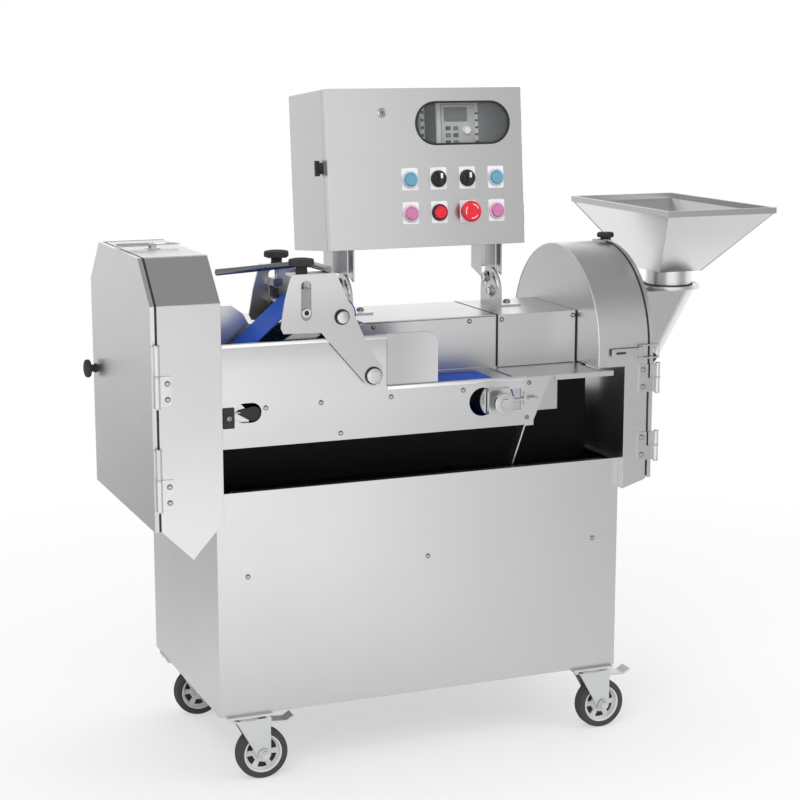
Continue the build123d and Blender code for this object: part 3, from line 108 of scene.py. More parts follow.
class Shader:
    """One material's or world's node tree."""

    def __init__(self, tree):
        self.tree = tree

    def node(self, kind, settings=None, **sockets):
        """Add a node, set it up and fill its sockets."""
        node = self.tree.nodes.new(kind)
        for key, value in (settings or {}).items():
            setattr(node, key, value)
        self.fill(node, **sockets)
        return node

    def fill(self, node, **sockets):
        """Give values or links to a node's sockets, by name or by number, as in _0."""
        for key, value in sockets.items():
            socket = node.inputs[int(key[1:]) if key[1:].isdigit() else key.replace("_", " ")]
            if isinstance(value, Number):
                self.tree.links.new(value.socket, socket)
            else:
                socket.default_value = value

    def out(self, node, name=0):
        return Number(self, node.outputs[name])

    def math(self, operation, first, second):
        return self.out(self.node("ShaderNodeMath", {"operation": operation}, _0=first, _1=second))

    def clamp(self, value):
        return self.out(self.node("ShaderNodeClamp", Value=value))

    def place(self, stretch=(1, 1, 1)):
        """Texture space in metres, stretched."""
        coordinate = self.out(self.node("ShaderNodeTexCoord"), "Object")
        return self.out(self.node("ShaderNodeMapping", Vector=coordinate, Scale=stretch))

    def split(self, vector, *axes):
        """Parts of a vector as numbers."""
        node = self.node("ShaderNodeSeparateXYZ", _0=vector)
        return [self.out(node, axis) for axis in axes]

    def sweep(self, axis, start, end, first, last):
        """A value that goes from first to last along one axis of the machine, in metres."""
        (place,) = self.split(self.out(self.node("ShaderNodeTexCoord"), "Object"), axis)
        return self.out(self.node("ShaderNodeMapRange", {"interpolation_type": "SMOOTHSTEP"}, Value=place,
                                  From_Min=start, From_Max=end, To_Min=first, To_Max=last))

    def scaled(self, color, factor):
        """A colour made lighter or darker by a value."""
        return self.out(self.node("ShaderNodeVectorMath", {"operation": "SCALE"}, _0=color, Scale=factor))

    def noise(self, scale, detail=2.0, roughness=0.5, stretch=(1, 1, 1)):
        return self.out(self.node("ShaderNodeTexNoise", Vector=self.place(stretch), Scale=scale,
                                  Detail=detail, Roughness=roughness))

    def cells(self, scale, settings=None, **sockets):
        """The distance from the middles of a cell pattern."""
        node = self.node("ShaderNodeTexVoronoi", settings, Vector=self.place(), Scale=scale, **sockets)
        return self.out(node, "Distance")

    def blend(self, factor, first, second):
        """Mix two colours."""
        return self.out(self.node("ShaderNodeMix", {"data_type": "RGBA"}, _0=factor, _6=first, _7=second), 2)

    def rounded(self, radius):
        """A normal with softened edges."""
        return self.out(self.node("ShaderNodeBevel", {"samples": 4}, Radius=radius))

    def bumped(self, radius, height, strength, distance=0.0003):
        """A normal with softened edges and a fine bump on top."""
        return self.out(self.node("ShaderNodeBump", Strength=strength, Distance=distance, Height=height,
                                  Normal=self.rounded(radius)))


def new_material(name):
    """A material's shader and its principled surface."""
    material = bpy.data.materials.new(name)
    material.use_nodes = True
    surface = next(n for n in material.node_tree.nodes if n.type == "BSDF_PRINCIPLED")
    return Shader(material.node_tree), surface


def material_of(name):
    return bpy.data.materials[name]


def grey(value):
    return (value, value, value, 1)


def shade(color, factor):
    """A colour made lighter or darker, with full alpha."""
    return tuple(min(1.0, c * factor) for c in color[:3]) + (1.0,)


def steel_finish(name, color, roughness, painted_shade_sweeps):
    """Satin stainless sheet: fine streaks, faint clouds, painted shade and reflection that change the tone
    slowly along the machine, and softened edges.
    """
    shader, surface = new_material(name)
    streaks = shader.noise(1.0, 3.0, 0.6, stretch=(4, 420, 420))
    clouds = shader.noise(3.0)
    smudges = shader.noise(14.0, stretch=(1, 1, 2))
    tone = shader.clamp((streaks - 0.5) * 0.5 + (clouds - 0.5) * 0.8 + 0.5)
    shown = shader.blend(tone, shade(color, 0.95), shade(color, 1.05))
    # Each sweep darkens or lightens the colour along one axis: painted shade and reflection.
    for sweep in painted_shade_sweeps:
        shown = shader.scaled(shown, shader.sweep(*sweep))
    shader.fill(surface,
                Base_Color=shown,
                Metallic=1.0,
                Roughness=roughness + (streaks - 0.5) * 0.1 + (smudges - 0.5) * 0.06,
                Normal=shader.bumped(0.0012, streaks, 0.025))


def bright_finish(name, color, roughness):
    """Turned or plated steel of the small parts."""
    shader, surface = new_material(name)
    fine = shader.noise(420.0, 2.0, 0.6)
    clouds = shader.noise(40.0)
    shader.fill(surface,
                Base_Color=shader.blend(clouds, shade(color, 0.9), shade(color, 1.08)),
                Metallic=1.0,
                Roughness=roughness + (fine - 0.5) * 0.12,
                Normal=shader.bumped(0.0006, fine, 0.03))


def paint_finish(name, color, roughness, gloss=0.5, grain=320.0, bump=0.08):
    """Painted metal or moulded plastic with a fine skin."""
    shader, surface = new_material(name)
    skin = shader.noise(grain, 2.0, 0.55)
    wear = shader.noise(9.0, 4.0, 0.6)
    shader.fill(surface,
                Base_Color=shader.blend(wear, shade(color, 0.86), shade(color, 1.12)),
                Roughness=roughness + (wear - 0.5) * 0.14,
                Specular_IOR_Level=gloss,
                Normal=shader.bumped(0.001, skin, bump))


def belt_finish(name, color):
    """Blue food belt: a woven carrier under a satin skin."""
    shader, surface = new_material(name)
    weave = shader.cells(520.0, {"feature": "SMOOTH_F1"}, Smoothness=0.6)
    scuffs = shader.noise(22.0, 4.0, 0.6, stretch=(3, 1, 1))
    shader.fill(surface,
                Base_Color=shader.blend(scuffs, shade(color, 0.8), shade(color, 1.15)),
                Roughness=0.5 + (scuffs - 0.5) * 0.2,
                Specular_IOR_Level=0.1,
                Normal=shader.bumped(0.0006, weave, 0.12, 0.0004))


def glass_finish(name, color):
    """The clear window pane."""
    shader, surface = new_material(name)
    dust = shader.noise(60.0, 3.0, 0.6)
    shader.fill(surface, Base_Color=color, Roughness=0.03 + dust * 0.04, Alpha=0.04 + dust * 0.02,
                Specular_IOR_Level=0.2, Normal=shader.rounded(0.0005))


def painted_glow_finish(name, color, painted_glow):
    """Translucent button cap with a faint moulded pattern and a faint painted glow, though no lamp is inside
    it.
    """
    shader, surface = new_material(name)
    facets = shader.cells(480.0)
    cloud = shader.noise(90.0)
    shader.fill(surface,
                Base_Color=shader.blend(cloud, shade(color, 0.85), shade(color, 1.15)),
                Roughness=0.22 + facets * 0.1,
                Emission_Color=shader.blend(cloud, shade(color, 0.9), shade(color, 1.1)),
                Emission_Strength=painted_glow,
                Normal=shader.bumped(0.0008, facets, 0.15))


# Mesh building. A piece is a bright steel part of the base unless its call says otherwise.
def finish_mesh(name, mesh, body, finish):
    """Make an object of a mesh, give it its material and let it ride on its body."""
    mesh.materials.append(material_of(finish))
    piece = bpy.data.objects.new(name, mesh)
    bpy.context.scene.collection.objects.link(piece)
    mesh.shade_smooth()
    mesh.set_sharp_from_angle(angle=SHARP_ANGLE)
    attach(piece, body)
    return piece


def frame_matrix(origin, along, up=(0, 0, 1)):
    """A matrix whose z runs along a direction and whose y leans to another."""
    z = Vector(along).normalized()
    side = Vector(up).cross(z)
    x = side.normalized() if side.length > 1e-6 else Vector((1, 0, 0))
    y = z.cross(x)
    return Matrix.Translation(origin) @ Matrix((x, y, z)).transposed().to_4x4()


def mirrored(half):
    """A profile and its mirror image in height."""
    return half + [(radius, -height) for radius, height in reversed(half)]


def threaded(radius, root, pitch, valley, turns):
    """The profile of a threaded rod."""
    profile = [(radius, 0)]
    for k in range(turns):
        profile += [(root, pitch * k + valley), (radius, pitch * k + pitch)]
    return profile


def outline_factor(angle, shape=None):
    """How far a hexagon, or an outline with so many lobes, reaches at an angle, as a share of its radius."""
    if shape is None:
        return 1.0
    if shape == "hex":
        return math.cos(math.pi / 6) / math.cos(angle % (math.pi / 3) - math.pi / 6)
    return 1 + LOBE_DEPTH * math.cos(shape * angle)


def turned(name, matrix, profile, body="base", finish="bright", segments=48,
           closed=False):
    """A lathe-turned piece: radius and height along z in millimetres, then hex or a number of lobes."""
    mesh = bpy.data.meshes.new(name)
    build = bmesh.new()
    rings = []
    for radius, height, *shape in profile:
        if radius < 1e-6:
            rings.append([build.verts.new((0, 0, height * MM))])
            continue
        ring = []
        for k in range(segments):
            angle = 2 * math.pi * k / segments
            reach = radius * MM * outline_factor(angle, *shape)
            ring.append(build.verts.new((reach * math.cos(angle), reach * math.sin(angle), height * MM)))
        rings.append(ring)
    pairs = list(zip(rings, rings[1:]))
    if closed:
        pairs.append((rings[-1], rings[0]))
    for low, high in pairs:
        for k in range(segments):
            after = k + 1
            corners = (low[k % len(low)], low[after % len(low)], high[after % len(high)], high[k % len(high)])
            unique = list(dict.fromkeys(corners))
            if len(unique) > 2:
                build.faces.new(unique)
    for ring in () if closed else (rings[0], rings[-1]):
        if len(ring) > 2:
            build.faces.new(ring)
    bmesh.ops.recalc_face_normals(build, faces=build.faces)
    build.transform(matrix)
    build.to_mesh(mesh)
    build.free()
    return finish_mesh(name, mesh, body, finish)


def curve_mesh(name, dimensions, loops, cyclic, **settings):
    """A mesh from a curve through loops of points, in metres."""
    curve = bpy.data.curves.new(name, "CURVE")
    curve.dimensions = dimensions
    for key, value in settings.items():
        setattr(curve, key, value)
    for loop in loops:
        spline = curve.splines.new("POLY")
        spline.points.add(len(loop) - 1)
        for point, place in zip(spline.points, loop):
            point.co = (*place, 1)
        spline.use_cyclic_u = cyclic
    holder = bpy.data.objects.new(name, curve)
    bpy.context.scene.collection.objects.link(holder)
    bpy.context.view_layer.update()
    mesh = bpy.data.meshes.new_from_object(holder.evaluated_get(bpy.context.evaluated_depsgraph_get()))
    bpy.data.objects.remove(holder)
    bpy.data.curves.remove(curve)
    mesh.name = name
    mesh.materials.clear()
    return mesh


def cut_plate(name, matrix, loops, thickness, body="base", finish="bright", bevel=0.3):
    """A flat piece with holes: loops of points in millimetres, its middle at z 0, with rounded rims."""
    mesh = curve_mesh(name, "2D", [[(x * MM, y * MM, 0) for x, y in loop] for loop in loops], True,
                      fill_mode="BOTH", extrude=(thickness / 2 - bevel) * MM, bevel_depth=bevel * MM,
                      offset=-bevel * MM, bevel_resolution=2)
    mesh.transform(matrix)
    finish_mesh(name, mesh, body, finish)


def wire(name, points, radius, body="base", finish="bright", closed=False):
    """A round wire or rod through points, in metres."""
    mesh = curve_mesh(name, "3D", [points], closed, bevel_depth=radius * MM, bevel_resolution=6,
                      use_fill_caps=True)
    finish_mesh(name, mesh, body, finish)


def ring_points(radius, count=48, centre=(0, 0), start=0.0, sweep=360.0):
    """Points of a circle or an arc."""
    steps = count if sweep >= 360 else count - 1
    return [(centre[0] + radius * math.cos(math.radians(start + sweep * k / steps)),
             centre[1] + radius * math.sin(math.radians(start + sweep * k / steps))) for k in range(count)]


def ring_sector(outer, inner, count):
    """Points of a piece of a ring. Each arc is its radius, start and sweep."""
    far, near = (ring_points(radius, count, (0, 0), start, sweep) for radius, start, sweep in (outer, inner))
    return far + near[::-1]


def stadium(length, width, count=16):
    """Points of a slot with round ends."""
    half = (length - width) / 2
    return [point for x, start in ((half, -90), (-half, 90))
            for point in ring_points(width / 2, count, (x, 0), start, 180)]


def rounded_box(name, low, high, radius, body="base", finish="bright", matrix=None,
                segments=3):
    """A block with rounded edges between two corners, in metres."""
    mesh = bpy.data.meshes.new(name)
    build = bmesh.new()
    bmesh.ops.create_cube(build, size=1.0)
    build.transform(Matrix.Translation((low + high) / 2) @ Matrix.Diagonal((*(high - low), 1)))
    bmesh.ops.bevel(build, geom=build.edges[:], offset=radius * MM, segments=segments, profile=0.5,
                    affect="EDGES")
    if matrix is not None:
        build.transform(matrix)
    build.to_mesh(mesh)
    build.free()
    finish_mesh(name, mesh, body, finish)


# Settings that a user would change.
def color_setting(name, description, value):
    return FloatVectorProperty(name=name, description=description, default=value, subtype="COLOR", size=3,
                               min=0.0, max=1.0)


class CutterFinishes(bpy.types.PropertyGroup):
    """Colours and sheen of the machine."""

    sheet_steel: color_setting("Sheet steel", "Brushed stainless panels", (0.66, 0.66, 0.665))
    small_steel: color_setting("Small steel", "Bolts, hinges and rods", (0.66, 0.665, 0.67))
    box_steel: color_setting("Box steel", "Control box and its door", (0.68, 0.68, 0.685))
    belt_blue: color_setting("Belt", "Feed and press belts", (0.006, 0.062, 0.37))
    # Near black: the inner frame's paint, and painted shade of the cavity inside the cabinet's rim.
    black_paint_and_painted_shade: color_setting("Black paint", "Frame inside the cabinet's rim", (0.004, 0.004, 0.0045))
    black_plastic: color_setting("Black plastic", "Knobs, latch and selectors", (0.014, 0.014, 0.015))
    tyre_black: color_setting("Tyre", "Castor tyres", (0.006, 0.006, 0.006))
    wheel_grey: color_setting("Wheel", "Castor wheel rims", (0.68, 0.68, 0.69))
    tag_white: color_setting("Tag plates", "Bare plates above the controls", (0.8, 0.8, 0.81))
    button_blue: color_setting("Blue button", "Start buttons", (0.12, 0.31, 0.44))
    button_pink: color_setting("Pink button", "Reset buttons", (0.54, 0.18, 0.36))
    button_red: color_setting("Red button", "Stop and emergency buttons", (0.68, 0.012, 0.025))
    sheet_roughness: FloatProperty(name="Sheet roughness", description="Sheen of the panels", default=0.3,
                                   min=0.05, max=0.9)


class CutterStage(bpy.types.PropertyGroup):
    """Camera, floor and light."""

    lens: FloatProperty(name="Lens", description="Focal length", default=84.42, min=10, unit="CAMERA")
    camera_turn: FloatProperty(name="Turn", description="Camera's turn from straight ahead",
                               default=math.radians(-22.17), subtype="ANGLE")
    camera_tilt: FloatProperty(name="Tilt", description="Camera's tilt from straight down",
                               default=math.radians(79.15), subtype="ANGLE")
    camera_place: FloatVectorProperty(name="Place", default=(-0.9449, -3.2068, 1.377), size=3,
                                      description="Camera's place from the cabinet's left front foot",
                                      subtype="TRANSLATION", unit="LENGTH")
    key_power: FloatProperty(name="Key light", description="Power of the key light", default=70.0, min=0)
    fill_power: FloatProperty(name="Fill light", description="Power of the fill light", default=30.0, min=0)
    ambient: FloatProperty(name="Ambient", description="World light on the object", default=0.75, min=0)


class CUTTER_OT_finishes(bpy.types.Operator):
    """Make the materials and give them to the CAD pieces"""

    bl_idname = "cutter.finishes"
    bl_label = "Finishes"

    # The first start of a name that fits decides. Every other piece is plain sheet.
    PIECES = {
        "black_paint_and_painted_shade": ("inner_frame",),
        "black_plastic": ("left_door_knob", "press_knob", "star_knob", "door_lock", "selector"),
        "black_rubber": ("door_gaskets", "castor_wheel"),
        "zinc": ("castor_plates", "castor_fork", "brake_pedal"),
        "bright": ("head_fittings", "left_latch_lever", "right_latch_lever", "sickle_knife", "slicing_disc",
                   "drive_roller", "tail_roller", "press_nose_roller", "press_tension_roller",
                   "press_drive_roller"),
        "rod_steel": ("press_frame",),
        "belt": ("feed_belt", "press_belt"),
        "castings": ("motors",),
        "grey_plastic": ("inverter",),
        "pane": ("window_pane",),
        "blue_cap": ("blue_button",),
        "pink_cap": ("pink_button",),
        "red_cap": ("red_button", "estop_button"),
        "box_sheet": ("control_box",),
        "door_sheet": ("control_door",),
        "sheet_door": ("left_door",),
        "sheet_head": ("left_head_housing",),
        "sheet_front": ("front_panel",),
        "sheet_plate": ("conveyor_front_plate",),
        "sheet_housing": ("rear_housing",),
        "sheet_press": ("press_front_plate", "press_rear_plate"),
        "sheet_hopper": ("hopper",),
    }

    @staticmethod
    def sheet_colours_and_painted_shade(tone):
        """The sheets' colours, and the painted shade and reflection that change their tone along an axis, in
        metres.
        """
        sheet, box = tone.sheet_steel, tone.box_steel
        return {
            "sheet": (sheet, ()),
            "sheet_front": (sheet, ((HEIGHT, 0.563, 0.134, 1.06, 0.92),)),
            "sheet_head": (sheet, ((HEIGHT, 0.76, 0.48, 0.92, 1.08),)),
            "sheet_door": (sheet, ((HEIGHT, 0.93, 0.62, 1.06, 0.9),)),
            "sheet_plate": (sheet, ((HEIGHT, 0.842, 0.79, 0.86, 1.06), (HEIGHT, 0.75, 0.655, 1.0, 0.92))),
            "sheet_guide": (sheet, ((ACROSS, LEFT + 0.335, LEFT + 0.425, 0.84, 1.08),)),
            "sheet_housing": (sheet, ((HEIGHT, 0.84, 0.75, 1.06, 0.9),)),
            "sheet_press": (sheet, ((HEIGHT, 0.96, 0.87, 1.08, 0.88),)),
            "sheet_hopper": (sheet, ((DEEP, FRONT + 0.02, FRONT + 0.16, 0.88, 1.06),)),
            "box_sheet": (box, ()),
            "door_sheet": (box, ((ACROSS, LEFT + 0.3, LEFT + 0.71, 1.08, 0.92),)),
        }

    def execute(self, context):
        tone = context.scene.cutter_finishes
        for name, (color, painted_shade_sweeps) in self.sheet_colours_and_painted_shade(tone).items():
            steel_finish(name, color, tone.sheet_roughness, painted_shade_sweeps)
        bright_finish("bright", tone.small_steel, 0.22)
        bright_finish("zinc", shade(tone.small_steel, 1.05), 0.34)
        bright_finish("rod_steel", shade(tone.small_steel, 0.5), 0.28)
        # A copy of the sheet steel made 1.35 times lighter: a painted highlight on the plate hems and the
        # drum's face bead.
        bright_finish("painted_highlight_steel", shade(tone.sheet_steel, 1.35), 0.25)
        bright_finish("bead", tone.sheet_steel, 0.3)
        # Near black: paint, and painted shade of the cavity inside the cabinet's rim.
        paint_finish("black_paint_and_painted_shade", tone.black_paint_and_painted_shade, 0.5, 0.12)
        paint_finish("black_plastic", tone.black_plastic, 0.38, 0.3)
        paint_finish("black_rubber", tone.tyre_black, 0.6, 0.12, grain=260.0, bump=0.12)
        paint_finish("tyre", tone.tyre_black, 0.72, 0.15, grain=180.0, bump=0.18)
        paint_finish("wheel", tone.wheel_grey, 0.42)
        paint_finish("white_plate", tone.tag_white, 0.35)
        paint_finish("grey_plastic", (0.1, 0.105, 0.11), 0.45)
        paint_finish("drive_grey", (0.62, 0.62, 0.62), 0.5)
        paint_finish("drive_face", (0.44, 0.44, 0.44), 0.42)
        paint_finish("display", (0.1, 0.105, 0.1), 0.2)
        paint_finish("castings", (0.06, 0.08, 0.1), 0.5)
        belt_finish("belt", tone.belt_blue)
        glass_finish("pane", (0.75, 0.82, 0.84, 1))
        buttons = {"blue": tone.button_blue, "pink": tone.button_pink, "red": tone.button_red}
        # The caps glow faintly, and the blue and pink bezels, in a paler copy of their cap's colour, glow
        # more faintly still: painted glow, with no lamp inside.
        for color, value in buttons.items():
            painted_glow_finish(f"{color}_cap", value, 0.06)
        for color in ("blue", "pink"):
            paler = tuple(0.55 * c + 0.4 for c in buttons[color])
            painted_glow_finish(f"{color}_ring", paler, 0.03)
        for node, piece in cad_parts.items():
            finish = next((key for key, starts in self.PIECES.items() if node.startswith(starts)), "sheet")
            piece.data.materials.clear()
            piece.data.materials.append(material_of(finish))
        return {"FINISHED"}


# Places on the leaning control box and on the front.
BOX_TILT = math.radians(5.3)
DOOR_UP = Vector((0, math.sin(BOX_TILT), math.cos(BOX_TILT)))
DOOR_OUT = Vector((0, -math.cos(BOX_TILT), math.sin(BOX_TILT)))
DOOR_FOOT = (502.5, 190, 977)
CONTROL_COLUMNS = (-38, 23, 85, 147)
UPPER_ROW, LOWER_ROW = 133, 67
ESTOP_PLACE = (2, LOWER_ROW)
WINDOW_MIDDLE = (80, 241.5)
WINDOW_SIZE = (202, 83)
LOW_PLATE_END = 602
DRUM_MIDDLE = 173


def door_spot(across, rise, out=0.0):
    """A point of the control door: across from its middle, up from its foot and out of its face."""
    return spot(*DOOR_FOOT) + (Vector((across, 0, 0)) + DOOR_UP * rise + DOOR_OUT * out) * MM


def door_matrix(across, rise, out=0.0):
    return frame_matrix(door_spot(across, rise, out), DOOR_OUT, DOOR_UP)


def front_matrix(x, z, y):
    """A place that faces the front."""
    return frame_matrix(spot(x, y, z), (0, -1, 0))


def top_matrix(x, y, z):
    """A place that faces up."""
    return frame_matrix(spot(x, y, z), (0, 0, 1))


def right_matrix(x, y, z):
    """A place that faces right."""
    return frame_matrix(spot(x, y, z), (1, 0, 0))


def hex_bolt(name, matrix, across, height, body="base", finish="bright"):
    """A hexagon head with its chamfered crown, on a washer."""
    corner = across / 2 / math.cos(math.pi / 6)
    foot = 1.2
    top = foot + height
    profile = [(corner * 1.28, 0), (corner * 1.28, 0.9), (corner * 1.2, foot), (corner, foot, "hex"),
               (corner, top - 1, "hex"), (corner * 0.9, top), (corner * 0.55, top), (corner * 0.5, top - 0.3),
               (0, top - 0.3)]
    turned(name, matrix, profile, body, finish)


def dome_screw(name, matrix, radius, finish="rod_steel"):
    """A domed head with a hexagon socket."""
    shape = ((1.05, 0), (1.05, 0.18), (0.94, 0.42), (0.72, 0.62), (0.5, 0.7, "hex"), (0.46, 0.6, "hex"),
             (0.44, 0.2, "hex"), (0, 0.15))
    profile = [(radius * width, radius * height, *edge) for width, height, *edge in shape]
    turned(name, matrix, profile, "base", finish, segments=36)


class CUTTER_OT_castors(bpy.types.Operator):
    """Make the castors' tyres, rims, races, nuts and plate bolts"""

    bl_idname = "cutter.castors"
    bl_label = "Castors"

    def execute(self, context):
        for corner in ("front_left", "front_right", "rear_left", "rear_right"):
            body = f"castor_wheel_{corner}"
            low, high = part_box(body)
            middle = (low + high) / 2
            self.make_wheel(body, frame_matrix(middle, (0, -1, 0)))
            self.make_fittings(corner, middle)
        return {"FINISHED"}

    @staticmethod
    def make_wheel(body, face):
        tread = [(37.6, -12.6), (39, -13.8), (46.5, -13.8), (48.8, -12), (49.8, -8)]
        for groove in (-5, 0, 5):
            tread += [(50, groove - 1.6), (49.3, groove - 0.8), (49.3, groove + 0.8), (50, groove + 1.6)]
        tread += [(49.8, 8), (48.8, 12), (46.5, 13.8), (39, 13.8), (37.6, 12.6)]
        tyre = turned(body + "_tyre", face, tread, body, "tyre", segments=72, closed=True)
        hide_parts(body)
        rim = mirrored([(33.5, -9), (34.2, -12), (35, -13), (37, -13), (38, -12)])
        turned(body + "_rim", face, rim, body, "wheel", segments=72, closed=True)
        bore = ring_points(6.3, 32)
        windows = [ring_sector((30, turn + 11, 38), (19, turn + 14, 32), 10) for turn in range(0, 360, 60)]
        cut_plate(body + "_web", face, [ring_points(34.5, 72), bore, *windows], 9, body, "wheel", 0.8)
        # A black disc in the web's middle shows through its windows: painted shade of the pockets.
        cut_plate(body + "_pocket_shade", face, [ring_points(34, 72), bore], 3, body, "black_rubber", 0.2)
        hub = mirrored([(6.2, -13.4), (10.5, -13.4), (12.6, -12.4), (13.2, -8), (15, -4.5)])
        turned(body + "_hub", face, hub, body, "wheel", closed=True)

    @staticmethod
    def make_fittings(corner, middle):
        fork = f"castor_fork_{corner}"
        recess, trail, rise = 3.2 * MM, 28 * MM, 130 * MM
        low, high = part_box(fork)
        for tag, side, reach in (("front", -1, middle.y - low.y), ("rear", 1, high.y - middle.y)):
            place = Vector((middle.x, middle.y + side * (reach - recess), middle.z))
            hex_bolt(f"{fork}_nut_{tag}", frame_matrix(place, (0, side, 0)), 15.4, 5, fork, "zinc")
        swivel = Vector((middle.x - trail, middle.y, rise))
        race = [(23.5, 0), (25.6, -0.4), (26.4, -2), (25.4, -3.6), (24.4, -4), (25.4, -4.4), (26.4, -6),
                (25.6, -7.6), (23.5, -8)]
        turned(f"castor_race_{corner}", Matrix.Translation(swivel), race, "base", "zinc", closed=True)
        for k, (x, y) in enumerate(((-36, -21), (36, -21), (-36, 21), (36, 21))):
            place = swivel + in_metres(x, y, 0)
            hex_bolt(f"castor_bolt_{corner}_{k}", frame_matrix(place, (0, 0, -1)), 10, 4.5, "base", "zinc")


class CUTTER_OT_fasteners(bpy.types.Operator):
    """Make the screws and bolts of the covers, hinges and brackets"""

    bl_idname = "cutter.fasteners"
    bl_label = "Fasteners"

    def execute(self, context):
        rows = (
            ("screw_y0", 0, 4.6, ((58, 402), (420, 404), (775, 404))),
            ("screw_y40", -40, 4.6, ((84, 726), (190, 728), (328, 729), (474, 731), (228, 668))),
            ("screw_y80", 80, 4.6, ((340, 842), (540, 842))),
            ("screw_y78", 78, 4.6, ((608, 842), (764, 842))),
            ("left_hinge_screw", -50.5, 5, ((-100, 569), (-100, 598), (-100, 756), (-100, 784.5))),
            ("right_hinge_screw", -21.5, 5.4, ((870, 570), (870, 605), (870, 707), (870, 741))),
        )
        for name, y, radius, places in rows:
            for k, (x, z) in enumerate(places):
                dome_screw(f"{name}_{k}", front_matrix(x, z, y), radius)
        for side, x in (("left", 333), ("right", 652)):
            self.make_bracket_bolts(side, x)
        self.make_frame_bolts()
        self.make_hinge_caps("left", -119, -54, ((556, 666), (743, 852)))
        self.make_hinge_caps("right", 900, -25, ((559, 616), (696, 752)))
        return {"FINISHED"}

    @staticmethod
    def make_bracket_bolts(side, x):
        dome_screw(f"bracket_screw_{side}", top_matrix(x + 34, 221, 854.5), 7.4)
        for tag, place, body in (("tilt", (226, 878), "base"), ("clamp", (250, 904), "control_box")):
            left = frame_matrix(spot(x - 0.1, *place), (-1, 0, 0))
            hex_bolt(f"{tag}_nut_{side}", right_matrix(x + 6.4, *place), 17.4, 6.2, body)
            hex_bolt(f"{tag}_head_{side}", left, 17.4, 5.2, body)

    @staticmethod
    def make_frame_bolts():
        hex_bolt("brace_bolt", top_matrix(631, 36, 551.5), 10, 5)
        wall = 112
        for k, x in enumerate((752, 796)):
            hex_bolt(f"wall_bolt_{k}", front_matrix(x, 731, wall), 11, 5)
        for k, z in enumerate((716, 693)):
            dome_screw(f"wall_stud_{k}", front_matrix(739, z, wall), 5, "black_plastic")
        for k, (x, z) in enumerate(((610, 668), (614, 735))):
            dome_screw(f"gusset_screw_{k}", front_matrix(x, z, -35.5), 4.2)

    @staticmethod
    def make_hinge_caps(side, x, y, spans):
        door = f"{side}_door"
        cap = [(5.6, 0), (5.6, 1.4), (4.8, 2.6), (2.6, 3.4), (0, 3.6)]
        collar = [(5.4, 0.7), (5.9, 1.1), (5.9, 2.6), (5.4, 3)]
        for k, (low, high) in enumerate(spans):
            turned(f"{side}_hinge_cap_{k}", top_matrix(x, y, high), cap, door)
            turned(f"{side}_hinge_foot_{k}", frame_matrix(spot(x, y, low), (0, 0, -1)), cap)
            turned(f"{side}_hinge_washer_{k}", top_matrix(x, y, (low + high) / 2), collar, door, closed=True)


class CUTTER_OT_knobs(bpy.types.Operator):
    """Make the lobed knobs, the door pull and the box latch"""

    bl_idname = "cutter.knobs"
    bl_label = "Knobs"

    def execute(self, context):
        for side in ("front", "rear"):
            self.make_press_knob(side)
        self.make_star_knob()
        self.make_door_pull()
        self.make_box_latch()
        return {"FINISHED"}

    @staticmethod
    def make_press_knob(side):
        node, body, lobes = f"press_knob_{side}", f"press_adjuster_{side}", 7
        low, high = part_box(node)
        foot = 966.3 * MM
        place = Matrix.Translation(((low.x + high.x) / 2, (low.y + high.y) / 2, foot))
        head = [(10.6, 0), (11, 0.8), (10.2, 6), (10.4, 11), (14, 12.2), (20.5, 13, lobes), (22, 14.4, lobes),
                (22.3, 18, lobes), (22, 22.6, lobes), (20, 24.8, lobes), (15.5, 25.6), (9, 25.2), (8.2, 24.4),
                (0, 24.2)]
        knob = turned(node + "_head", place, head, body, "black_plastic", segments=112)
        turned(node + "_thread", place, threaded(4.2, 3.7, -2.2, -1.2, 20), body, segments=24)
        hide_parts(node)

    @staticmethod
    def make_star_knob():
        lobes = 5
        low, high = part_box("star_knob")
        place = Matrix.Translation(((low.x + high.x) / 2, spot(0, DRUM_MIDDLE, 0).y, low.z))
        star = [(10, 0), (10.6, 0.8), (10.4, 2.6), (15.4, 3.4, lobes), (16.6, 4.8, lobes), (16.8, 8, lobes),
                (16.2, 11.6, lobes), (13.5, 13.4, lobes), (8, 14), (5.6, 14)]
        knob = turned("star_knob_head", place, star, "star_knob", "black_plastic",
                      segments=110)
        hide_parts("star_knob")
        tip = [(5.4, 13.2), (5.4, 14.6), (3.4, 14.8, "hex"), (3.2, 13.4, "hex"), (0, 13.2)]
        turned("star_knob_insert", place, tip, "star_knob", "bright")

    @staticmethod
    def make_door_pull():
        low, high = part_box("left_door_knob")
        place = Vector((high.x, (low.y + high.y) / 2, (low.z + high.z) / 2))
        pull = [(9.4, 0), (9.4, 1.4), (7.6, 2.4), (7.2, 7), (8.6, 9.6), (15.4, 10.8), (17.6, 13), (17.9, 17),
                (16.8, 20), (13.4, 21.6), (6, 21.9), (5.4, 21.2), (0, 21)]
        knob = turned("left_door_pull", frame_matrix(place, (-1, 0, 0)), pull, "left_door", "black_plastic")
        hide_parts("left_door_knob")

    @staticmethod
    def make_box_latch():
        place = frame_matrix(door_spot(-207.5, 160, -38), (-1, 0, 0), DOOR_UP)
        boss = [(11, 0), (11, 3.4), (9.6, 5), (8, 5.4), (8, 8), (0, 8.4)]
        turned("door_lock_boss", place, boss, "door_lock", "black_plastic")
        rounded_box("door_lock_lever", in_metres(-4.2, -15, 4), in_metres(4.2, 15, 11.8), 2.4, "door_lock",
                    "black_plastic", place)


